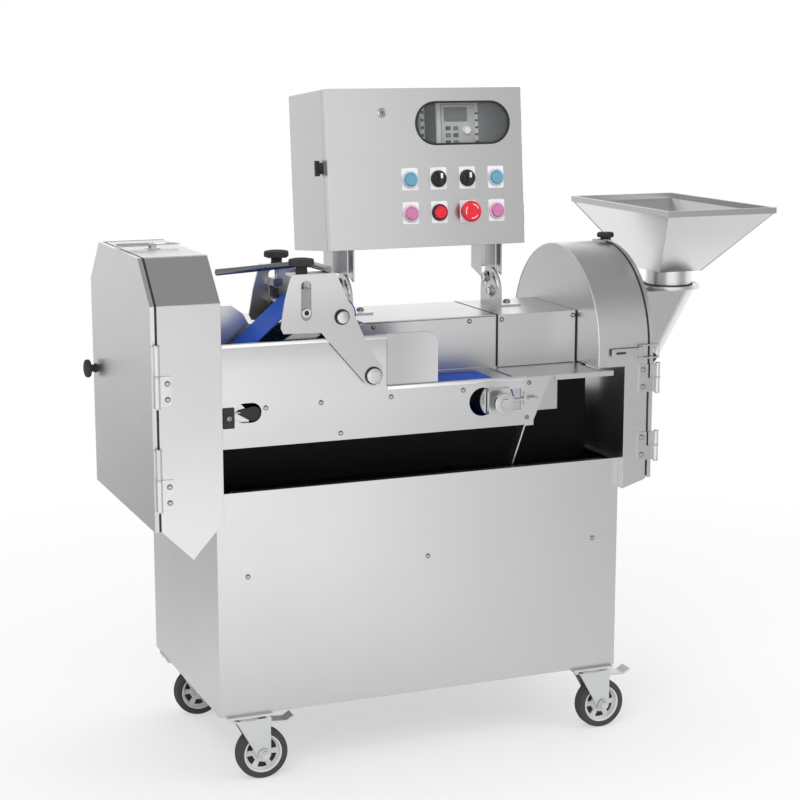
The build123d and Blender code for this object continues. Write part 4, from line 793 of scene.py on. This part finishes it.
class CUTTER_OT_controls(bpy.types.Operator):
    """Make the buttons, selectors, bezels and bare tag plates of the control door"""

    bl_idname = "cutter.controls"
    bl_label = "Controls"

    CAPS = {
        (0, UPPER_ROW): ("blue_button_left", "blue_cap"), (3, UPPER_ROW): ("blue_button_right", "blue_cap"),
        (0, LOWER_ROW): ("pink_button_left", "pink_cap"), (3, LOWER_ROW): ("pink_button_right", "pink_cap"),
        (1, LOWER_ROW): ("red_button", "red_cap"),
    }

    def execute(self, context):
        for column, across in enumerate(CONTROL_COLUMNS):
            for row in (UPPER_ROW, LOWER_ROW):
                self.make_tag(f"tag_{column}_{row}", door_matrix(across, row, 0.7))
                self.make_bezel(column, row)
        for (column, row), (node, finish) in self.CAPS.items():
            self.make_cap(node, finish, door_matrix(CONTROL_COLUMNS[column], row))
        for column, node in ((1, "selector_left"), (2, "selector_right")):
            self.make_selector(node, door_matrix(CONTROL_COLUMNS[column], UPPER_ROW))
        self.make_mushroom()
        self.make_key_lock()
        return {"FINISHED"}

    @staticmethod
    def make_tag(name, matrix):
        half, foot, top, corner = 17.4, -21.4, 22.4, 3
        corners = []
        for x, y, start in ((half, top, 0), (-half, top, 90), (-half, foot, 180), (half, foot, 270)):
            centre = (x - math.copysign(corner, x), y - math.copysign(corner, y))
            corners += ring_points(corner, 6, centre, start, 90)
        cut_plate(name, matrix, [corners, ring_points(15.2, 40)], 1.0, "control_door", "white_plate",
                  0.25)

    def make_bezel(self, column, row):
        _, cap = self.CAPS.get((column, row), ("", ""))
        finish = cap.replace("cap", "ring") if cap in ("blue_cap", "pink_cap") else "black_plastic"
        ring = [(13.2, 0.9), (16, 0.9), (16.6, 1.8), (16.4, 4.6), (15.4, 6.3), (14, 6.9), (13.3, 6.4)]
        if (column, row) == ESTOP_PLACE:
            ring = [(11.2, 0.9), (15.8, 0.9), (16.2, 3), (14, 6.2), (11.2, 6.4)]
        turned(f"bezel_{column}_{row}", door_matrix(CONTROL_COLUMNS[column], row), ring, "control_door",
               finish, closed=True)

    @staticmethod
    def make_cap(node, finish, matrix):
        dome = [(12.7, -3), (12.7, 8.6), (12.1, 10), (10.6, 10.9), (9.6, 10.6), (9, 10.1), (5, 10.5),
                (0, 10.7)]
        cap = turned(node + "_cap", matrix, dome, node, finish)
        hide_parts(node)

    @staticmethod
    def make_selector(node, matrix):
        base = [(12.8, -3), (12.8, 7), (12.2, 8.6), (10.4, 9.4), (0, 9.6)]
        knob = turned(node + "_base", matrix, base, node, "black_plastic")
        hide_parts(node)
        rounded_box(node + "_grip", in_metres(-4.6, -12.4, 8.8), in_metres(4.6, 12.4, 19), 2.2, node,
                    "black_plastic", matrix)
        # A white indicator mark, made wide over half the grip's top so that it also stands for the grip's
        # glare: partly a real mark, partly a painted highlight.
        rounded_box(node + "_mark_and_painted_highlight", in_metres(-2.4, 0.4, 18.6), in_metres(2.4, 10.6, 19.4), 0.3, node,
                    "white_plate", matrix, 2)

    @staticmethod
    def make_mushroom():
        column, row = ESTOP_PLACE
        matrix = door_matrix(CONTROL_COLUMNS[column], row)
        head = [(10.8, -5), (10.8, 11.2), (12.4, 12.2), (17.4, 13.2), (20.2, 14.2), (21, 16.4), (20.6, 19.4),
                (19, 21.6), (16.4, 22.6), (12, 22.9), (6, 22.8), (0, 22.8)]
        knob = turned("estop_head", matrix, head, "estop_button", "red_cap", segments=72)
        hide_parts("estop_button")
        crown = matrix @ Matrix.Translation((0, 0, 22.9 * MM))
        for k in range(3):
            arc = ring_sector((14.4, 120 * k + 20, 64), (12.6, 120 * k + 20, 64), 12)
            cut_plate(f"estop_arc_{k}", crown, [arc], 0.5, "estop_button", "white_plate", 0.1)

    @staticmethod
    def make_key_lock():
        matrix = door_matrix(-92, 263)
        barrel = [(9.4, 0), (9.4, 2.2), (8.4, 3.6), (6.8, 4.4), (6.4, 4), (0, 4)]
        turned("key_lock_barrel", matrix, barrel, "control_door", "bright")
        # A black strip on the barrel stands for the dark of the keyway: painted shade.
        rounded_box("key_lock_slot_shade", in_metres(-0.9, -3.6, 3.8), in_metres(0.9, 3.6, 4.3), 0.2,
                    "control_door", "black_plastic", matrix, 2)


class CUTTER_OT_window(bpy.types.Operator):
    """Make the window's seal and what shows behind it"""

    bl_idname = "cutter.window"
    bl_label = "Window"

    def execute(self, context):
        length, rise = WINDOW_SIZE
        outer, inner = 3, -5
        loops = [stadium(length + reach, rise + reach) for reach in (outer, inner)]
        cut_plate("window_seal", door_matrix(*WINDOW_MIDDLE, -0.6), loops, 3.4, "control_door",
                  "black_rubber", 0.8)
        self.make_drive_face()
        self.make_trunking()
        return {"FINISHED"}

    @staticmethod
    def make_block(name, across, rise, depth, radius, finish, segments=3):
        """A block of the box's inside, from low to high across, up and out of the door's face."""
        low, high = (in_metres(*corner) for corner in zip(across, rise, depth))
        rounded_box(name, low, high, radius, "control_box", finish, door_matrix(0, 0),
                    segments)

    def make_drive_face(self):
        self.make_block("drive_cover", (43, 135), (162, 288), (-60, -46), 3, "drive_grey")
        self.make_block("drive_keypad", (52, 126), (186, 280), (-47, -42.5), 2, "drive_face")
        self.make_block("drive_display_frame", (58, 108), (246, 274), (-43, -40.6), 1.2, "grey_plastic")
        self.make_block("drive_display", (61, 105), (249, 271), (-41, -40.2), 0.4, "display")
        for row, rise in enumerate((233, 219, 205, 191)):
            for column, x in enumerate((66, 83)):
                self.make_block(f"drive_key_{row}_{column}", (x - 5.5, x + 5.5), (rise - 4, rise + 4),
                                (-43, -40.8), 1, "grey_plastic" if (row + column) % 2 else "black_plastic")
        dial = [(9, 0), (9, 1.2), (8, 2), (7.4, 6, 7), (6.6, 7, 7), (0, 7.2)]
        turned("drive_dial", door_matrix(106, 228, -42.5), dial, "control_box", "white_plate",
               segments=84)
        # Black strips on the drive's cover stand for the dark of its vents: painted shade.
        for k, foot in enumerate(range(176, 261, 14)):
            self.make_block(f"drive_vent_shade_{k}", (126, 134), (foot, foot + 4), (-47, -45.4), 0.5,
                            "black_plastic")

    def make_trunking(self):
        for k, x in enumerate((-12, 14)):
            self.make_block(f"trunking_{k}", (x, x + 13), (150, 292), (-92, -66), 4, "drive_grey")
            # Black strips on each trunking stand for the dark of its slots: painted shade.
            for step, foot in enumerate(range(158, 279, 15)):
                self.make_block(f"trunking_{k}_slot_{step}", (x + 3, x + 10), (foot, foot + 6),
                                (-66.6, -65.4), 0.5, "black_plastic", 2)


class CUTTER_OT_latches(bpy.types.Operator):
    """Make the latches' wire bails, lever grips and pins"""

    bl_idname = "cutter.latches"
    bl_label = "Latches"

    def execute(self, context):
        top, front, gauge = 1006.7, -26.2, 1.8
        wire("left_bail", [spot(x, y, top) for x, y in self.bail_path(-58, -127, -1, 162.2, 187.2)], gauge)
        wire("right_bail", [spot(x, front, z) for x, z in self.bail_path(855, 897, 1, 765.2, 790.8)], gauge)
        thick, thin = 2.2, 0.4
        # The thin black strips on the lever plates stand for the dark of their slots: painted shade.
        cut_plate("right_lever_slot_shade", front_matrix(816, 778, -28.15), [stadium(22, 4.6)], thin, "right_latch",
                  "black_plastic", bevel=0.1)
        cut_plate("right_lever_plate", front_matrix(828.5, 778, -27), [stadium(63, 17)], thick, "right_latch",
                  bevel=0.6)
        cut_plate("left_lever_plate", top_matrix(-37, 175, 1006.5), [stadium(51, 17)], thick, "left_latch",
                  bevel=0.6)
        cut_plate("left_lever_slot_shade", top_matrix(-28, 175, 1007.7), [stadium(20, 4.6)], thin, "left_latch",
                  "black_plastic", bevel=0.1)
        pin = mirrored([(3.3, -10), (3.3, -9), (2.2, -8.8)])
        across_head = frame_matrix(spot(-62, 175, 1004.5), (0, 1, 0))
        turned("left_latch_pin", across_head, pin, "left_latch", segments=24)
        turned("right_latch_pin", top_matrix(859, -25, 778), pin, "right_latch", segments=24)
        self.make_drum_handle()
        return {"FINISHED"}

    @staticmethod
    def bail_path(root, bend, way, low, high):
        """A bail's points: out from its root, round two corners and back."""
        near = [(root, 0), (bend, 0), (bend + 2.8 * way, 1), (bend + 3.8 * way, 3.8)]
        return [(x, low + y) for x, y in near] + [(x, high - y) for x, y in reversed(near)]

    @staticmethod
    def make_drum_handle():
        """The small black grip on the door, beside the upper hinge."""
        outline = [(0, -14), (11, -3), (12.6, 0), (11, 3), (0, 14), (-3, 12), (-3, -12)]
        cut_plate("right_door_grip", front_matrix(897, 762, -4), [outline], 9, "right_door", "black_plastic",
                  1.6)


class CUTTER_OT_seams(bpy.types.Operator):
    """Make the weld beads, hems, cover seams and gasket lips"""

    bl_idname = "cutter.seams"
    bl_label = "Seams"

    def execute(self, context):
        # The drum's face bead and the plate hems take the lighter copy of the sheet steel: a painted
        # highlight.
        wire("drum_face_bead", self.drum_path(772.4, 752, -0.6), 1.2, "base", "painted_highlight_steel")
        wire("drum_gasket_lip", self.drum_path(882, 527, -0.3), 1.9, "base", "black_rubber")
        profile = [(-46.8, 517), (-46.8, 921), (29.5, 997.3), (323.5, 997.3), (399.8, 921), (399.8, 517)]
        wire("head_gasket_lip", [spot(-118, y, z) for y, z in profile], 1.9, "base", "black_rubber")
        for name, start, end, foot in (("tall", 0.5, 318.5, 838.5), ("low", 319.5, LOW_PLATE_END, 742.5)):
            rounded_box(f"plate_hem_{name}", spot(start, -44.8, foot), spot(end, -40.2, foot + 8.3), 2.2,
                        "base", "painted_highlight_steel")
        seams = {
            "seam_side_cover_left": ((597.6, 77.1, 749), (600.4, 79.5, 851)),
            "seam_side_cover_right": ((769.3, 77.1, 749), (772.1, 79.5, 851)),
            "seam_side_cover_top": ((597.6, 79, 850.6), (600.4, 284, 852.1)),
            "seam_housing_lid": ((325, 79.3, 848.4), (597, 80.3, 849.3)),
        }
        for name, (low, high) in seams.items():
            rounded_box(name, spot(*low), spot(*high), 0.35, "base", "black_rubber",
                        segments=2)
        self.make_head_beads()
        self.make_inlet_catch()
        return {"FINISHED"}

    @staticmethod
    def drum_path(x, bottom, out):
        """Up one side of the drum's outline, over its round top and down the other side."""
        radius, axis = 192 + out, 784
        path = [spot(x, DRUM_MIDDLE - radius, bottom)]
        for y, z in ring_points(radius, 61, start=180, sweep=-180):
            path.append(spot(x, DRUM_MIDDLE + y, axis + z))
        path.append(spot(x, DRUM_MIDDLE + radius, bottom))
        return path

    @staticmethod
    def make_head_beads():
        """Beads along the folds of the left head."""
        front, rear, top, chamfer = -48, 401, 998.5, 77
        folds = ((front, top - chamfer), (front + chamfer, top), (rear - chamfer, top), (rear, top - chamfer))
        for k, (y, z) in enumerate(folds):
            path = [spot(-115.5, y, z), spot(-0.5, y, z)]
            wire(f"left_head_fold_{k}", path, 0.9, "base", "bead")

    @staticmethod
    def make_inlet_catch():
        wire("inlet_catch_rod", [spot(0, 70, 903), spot(30, 70, 903), spot(33, 70, 904)], 2)
        rounded_box("inlet_catch_block", spot(0, 66, 901), spot(7, 75, 912), 1, "base", "black_plastic")


class CUTTER_OT_rollers(bpy.types.Operator):
    """Make the rollers' ends, the press head's caps, the take-up screw and the bearing cap"""

    bl_idname = "cutter.rollers"
    bl_label = "Rollers"

    def execute(self, context):
        cap = [(10.8, 0), (11.4, 0.6), (11.4, 6.4), (10.2, 8), (7, 8.6), (0, 8.7)]
        cap_ring = [(11.9, 0), (14.2, 0), (14.4, 1.6), (13.4, 2.6), (11.9, 2.4)]
        turned("press_drive_cap", front_matrix(228, 885, -50.3), cap, "press_drive")
        turned("press_drive_ring", front_matrix(228, 885, -50), cap_ring, "press_head", "black_rubber",
               closed=True)
        stub = [(4.2, 0), (8, 0), (8.6, 0.8), (8.6, 2), (7.6, 2.8), (4.8, 2.8), (4.2, 2.2)]
        tension = front_matrix(160, 896, -50)
        turned("press_tension_bush", tension, stub, "press_head", closed=True)
        # A thin black disc fills the bush's bore: painted shade of the hole.
        bore_shade = [(4.3, 0), (4.3, 0.6), (0, 0.6)]
        turned("press_tension_bore_shade", tension, bore_shade, "press_tension", "black_rubber")
        pivot = [(14.3, 0), (14.3, 5.4), (13.2, 7.2), (10.6, 7.9), (9.8, 7.3), (9, 7.9), (0, 8.2)]
        pivot_ring = [(14.2, 0), (16.6, 0), (16.8, 1.2), (15.6, 2), (14.2, 1.8)]
        turned("press_pivot_cap", front_matrix(289, 773, -50.3), pivot)
        turned("press_pivot_ring", front_matrix(289, 773, -50), pivot_ring, "base", "black_rubber",
               closed=True)
        self.make_tail_end()
        self.make_slot_edge()
        self.make_drive_end()
        return {"FINISHED"}

    @staticmethod
    def make_tail_end():
        ribs = 28
        teeth = []
        for k in range(ribs):
            for turn, radius in ((0, 29.4), (0.28, 33.6), (0.62, 33.6), (0.9, 29.4)):
                angle = 2 * math.pi * (k + turn) / ribs
                teeth.append((radius * math.cos(angle), radius * math.sin(angle)))
        cut_plate("tail_drum_ribs", front_matrix(546, 706, -35.6), [teeth, ring_points(12, 32)], 2.6,
                  "tail_roller", bevel=0.4)
        collar = [(10.2, -0.4), (19.6, -0.4), (20.5, 0.6), (20.5, 7.2), (19.4, 8.6), (14.4, 8.8), (13.8, 8.2),
                  (13.2, 8.8), (10.2, 8.8)]
        low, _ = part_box("tail_roller")
        place = spot(546, 0, 706)
        place.y = low.y + 14 * MM
        face = frame_matrix(place, (0, -1, 0))
        turned("tail_collar", face, collar, "tail_roller", segments=64, closed=True)
        nut = [(9.9, 8, "hex"), (9.9, 12.4, "hex"), (9, 13.4), (5, 13.6), (4.2, 13), (0, 13.4)]
        turned("tail_nut", face, nut, "tail_roller")
        turned("take_up_thread", right_matrix(568, -44, 706), threaded(3.3, 2.7, 1.4, 0.7, 26), segments=24)
        hex_bolt("take_up_nut", right_matrix(602, -44, 706), 10, 5)

    @staticmethod
    def make_slot_edge():
        """The black tapered plug behind the left slot of the front plate, and its bright stem."""
        plug = ring_points(14, 24, (12, 0), -110, 220) + ring_points(4.5, 12, (-14, 4), 110, 140)
        cut_plate("belt_scraper_grip", front_matrix(50, 716, -36), [plug], 2.6, "base", "black_rubber",
                  0.9)
        wire("belt_scraper_stem", [spot(27, -36, 720), spot(37, -36, 720)], 1.6)

    @staticmethod
    def make_drive_end():
        rounded_box("drive_bearing_cap", spot(3, -43.4, 693), spot(24.5, -39.9, 731), 1.4, "base",
                    "black_plastic")
        dome_screw("drive_bearing_screw", front_matrix(14, 712, -43.4), 5.4)


class CUTTER_OT_guide(bpy.types.Operator):
    """Make the guide plate over the low part of the front plate"""

    bl_idname = "cutter.guide"
    bl_label = "Guide plate"

    def execute(self, context):
        left, right, foot, top, corner, face = 320.5, 421.5, 750.5, 846.4, 24, -38.4
        curve = ring_points(corner, 14, (right - corner, top - corner), 0, 90)
        outline = [(left, foot), (right, foot), *curve, (left, top)]
        cut_plate("guide_plate", front_matrix(0, 0, face), [outline], 1.2, "base", "sheet_guide",
                  0.4)
        edge = [spot(x, face, z) for x, z in outline[1:]]
        wire("guide_plate_edge", edge, 1.2, "base", "bead")
        return {"FINISHED"}


class CUTTER_OT_hopper(bpy.types.Operator):
    """Make the hopper's weld seams, top and foot hems, collar lip and seal"""

    bl_idname = "cutter.hopper"
    bl_label = "Hopper"

    def execute(self, context):
        low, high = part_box("hopper")
        middle_x, middle_y, half, foot, rim = 1047, 195, 49, 908, 1036
        signs = ((-1, -1), (1, -1), (1, 1), (-1, 1))

        def corner(sx, sy, inset, height):
            """A point inside a corner of the hopper's outline."""
            x, y = low.x if sx < 0 else high.x, low.y if sy < 0 else high.y
            return Vector((x - sx * inset * MM, y - sy * inset * MM, height * MM))

        for k, (sx, sy) in enumerate(signs):
            start = spot(middle_x + sx * half, middle_y + sy * half, foot)
            wire(f"hopper_seam_{k}", [start, corner(sx, sy, 4, rim)], 1.1, "hopper", "bead")
        for name, height in (("hopper_hem_top", 1046.9), ("hopper_hem_foot", 1037.2)):
            path = [corner(sx, sy, 1.1, height) for sx, sy in signs]
            wire(name, path, 1.1, "hopper", "bead", True)
        lip = [(62, -1.5), (64.4, -1.2), (65.2, 1), (65.4, 4), (64.6, 6.6), (62, 7)]
        turned("collar_lip", top_matrix(middle_x, middle_y, 871), lip, "right_door", "bead",
               96, True)
        seal = [(48.2, 0.2), (50.6, 0.4), (51.2, 1.4), (50.4, 2.2), (48.2, 2.4)]
        turned("neck_seal", top_matrix(middle_x, middle_y, 877), seal, "hopper", "black_rubber",
               96, True)
        return {"FINISHED"}


class CUTTER_OT_stage(bpy.types.Operator):
    """Make the floor, the light and the camera"""

    bl_idname = "cutter.stage"
    bl_label = "Stage"

    def execute(self, context):
        stage = context.scene.cutter_stage
        self.make_world(context, stage.ambient)
        self.make_floor(context)
        self.make_light(context, "key", (-2.2, -2.6, 3.2), 0.7, 2.4, stage.key_power)
        self.make_light(context, "fill", (2.8, -2.2, 2.0), 0.7, 2.4, stage.fill_power)
        self.make_light(context, "top", (0.3, 0.6, 3.6), 0.8, 2.0, stage.fill_power)
        lens = bpy.data.cameras.new("camera")
        lens.lens = stage.lens
        camera = bpy.data.objects.new("camera", lens)
        camera.location = Vector((LEFT, FRONT, 0)) + Vector(stage.camera_place)
        camera.rotation_euler = (stage.camera_tilt, 0, stage.camera_turn)
        context.scene.collection.objects.link(camera)
        context.scene.camera = camera
        context.scene.view_settings.view_transform = "Standard"
        return {"FINISHED"}

    @staticmethod
    def rays(shader):
        """Whether a ray comes from the camera or through glass, and whether it comes from a shiny face."""
        path = shader.node("ShaderNodeLightPath")
        direct = shader.out(path, "Is Camera Ray") + shader.out(path, "Is Transmission Ray")
        return shader.clamp(direct), shader.out(path, "Is Glossy Ray")

    @staticmethod
    def studio_wall(shader, corner):
        """The studio that shiny faces show, dimmed towards the right front and the left rear."""
        start, steepness = 0.16, 2.7
        dimmed = shader.clamp((corner * -1.0 - start) * steepness)
        return shader.blend(dimmed, grey(1.3), (0.3, 0.3, 0.305, 1))

    def make_world(self, context, ambient):
        world = bpy.data.worlds.new("studio")
        context.scene.world = world
        world.use_nodes = True
        shader = Shader(world.node_tree)
        background = next(n for n in world.node_tree.nodes if n.type == "BACKGROUND")
        direct, glossy = self.rays(shader)
        x, y, z = shader.split(shader.out(shader.node("ShaderNodeTexCoord"), 0), ACROSS, DEEP, HEIGHT)
        start, steepness, dimming = 0.25, 2.0, 0.7
        overhead = shader.clamp((z - start) * steepness)
        studio = shader.scaled(self.studio_wall(shader, x * y), 1.0 - overhead * dimming)
        lit = shader.blend(glossy, grey(ambient), studio)
        shader.fill(background, Color=shader.blend(direct, lit, grey(1)))

    def make_floor(self, context):
        mesh = bpy.data.meshes.new("floor")
        build = bmesh.new()
        bmesh.ops.create_grid(build, x_segments=1, y_segments=1, size=30)
        build.to_mesh(mesh)
        build.free()
        floor = bpy.data.objects.new("floor", mesh)
        context.scene.collection.objects.link(floor)
        shader, surface = new_material("floor")
        shader.fill(surface, Roughness=0.9, Base_Color=shader.blend(shader.noise(2.0), grey(0.8), grey(0.84)))
        x, y = shader.split(shader.place(), ACROSS, DEEP)
        clear, steepness = 0.5, 0.6
        away = shader.clamp(((x * x + y * y) ** 0.5 - clear) * steepness)
        direct, glossy = self.rays(shader)
        wall = self.studio_wall(shader, x * y / (x * x + y * y + 0.01))
        shown = shader.blend(glossy, grey(1), wall)
        plain = shader.node("ShaderNodeEmission", Color=shown, Strength=1.0)
        share = shader.clamp(direct * (away * 0.5 + 0.5) + glossy * away * 0.8)
        mixed = shader.node("ShaderNodeMixShader", _0=share, _1=shader.out(surface),
                            _2=shader.out(plain))
        output = next(n for n in shader.tree.nodes if n.type == "OUTPUT_MATERIAL")
        shader.fill(output, Surface=shader.out(mixed))
        mesh.materials.append(material_of("floor"))

    @staticmethod
    def make_light(context, name, place, aim, size, power):
        """A square lamp that points at the machine's middle, at a height in metres."""
        lamp = bpy.data.lights.new(name, "AREA")
        lamp.size = size
        lamp.energy = power
        holder = bpy.data.objects.new(name, lamp)
        holder.location = place
        holder.rotation_euler = (Vector((0, 0, aim)) - Vector(place)).to_track_quat("-Z", "Y").to_euler()
        holder.visible_glossy = False
        context.scene.collection.objects.link(holder)


class CUTTER_PT_panel(bpy.types.Panel):
    """The machine's settings and steps"""

    bl_label = "Cutting machine"
    bl_space_type = "VIEW_3D"
    bl_region_type = "UI"
    bl_category = "Cutter"

    def draw(self, context):
        for group in (context.scene.cutter_finishes, context.scene.cutter_stage):
            for key in group.bl_rna.properties.keys():
                if key not in ("rna_type", "name"):
                    self.layout.prop(group, key)
        for operator in OPERATORS:
            self.layout.operator(operator.bl_idname)


OPERATORS = (
    CUTTER_OT_finishes, CUTTER_OT_castors, CUTTER_OT_fasteners, CUTTER_OT_knobs, CUTTER_OT_controls,
    CUTTER_OT_window, CUTTER_OT_latches, CUTTER_OT_seams, CUTTER_OT_rollers, CUTTER_OT_guide,
    CUTTER_OT_hopper, CUTTER_OT_stage,
)
CLASSES = (CutterFinishes, CutterStage, *OPERATORS, CUTTER_PT_panel)


def register():
    for item in CLASSES:
        bpy.utils.register_class(item)
    bpy.types.Scene.cutter_finishes = PointerProperty(type=CutterFinishes)
    bpy.types.Scene.cutter_stage = PointerProperty(type=CutterStage)


def unregister():
    del bpy.types.Scene.cutter_finishes
    del bpy.types.Scene.cutter_stage
    for item in reversed(CLASSES):
        bpy.utils.unregister_class(item)


def main():
    register()
    for operator in OPERATORS:
        group, step = operator.bl_idname.split(".")
        getattr(getattr(bpy.ops, group), step)()


if __name__ == "__main__":
    main()
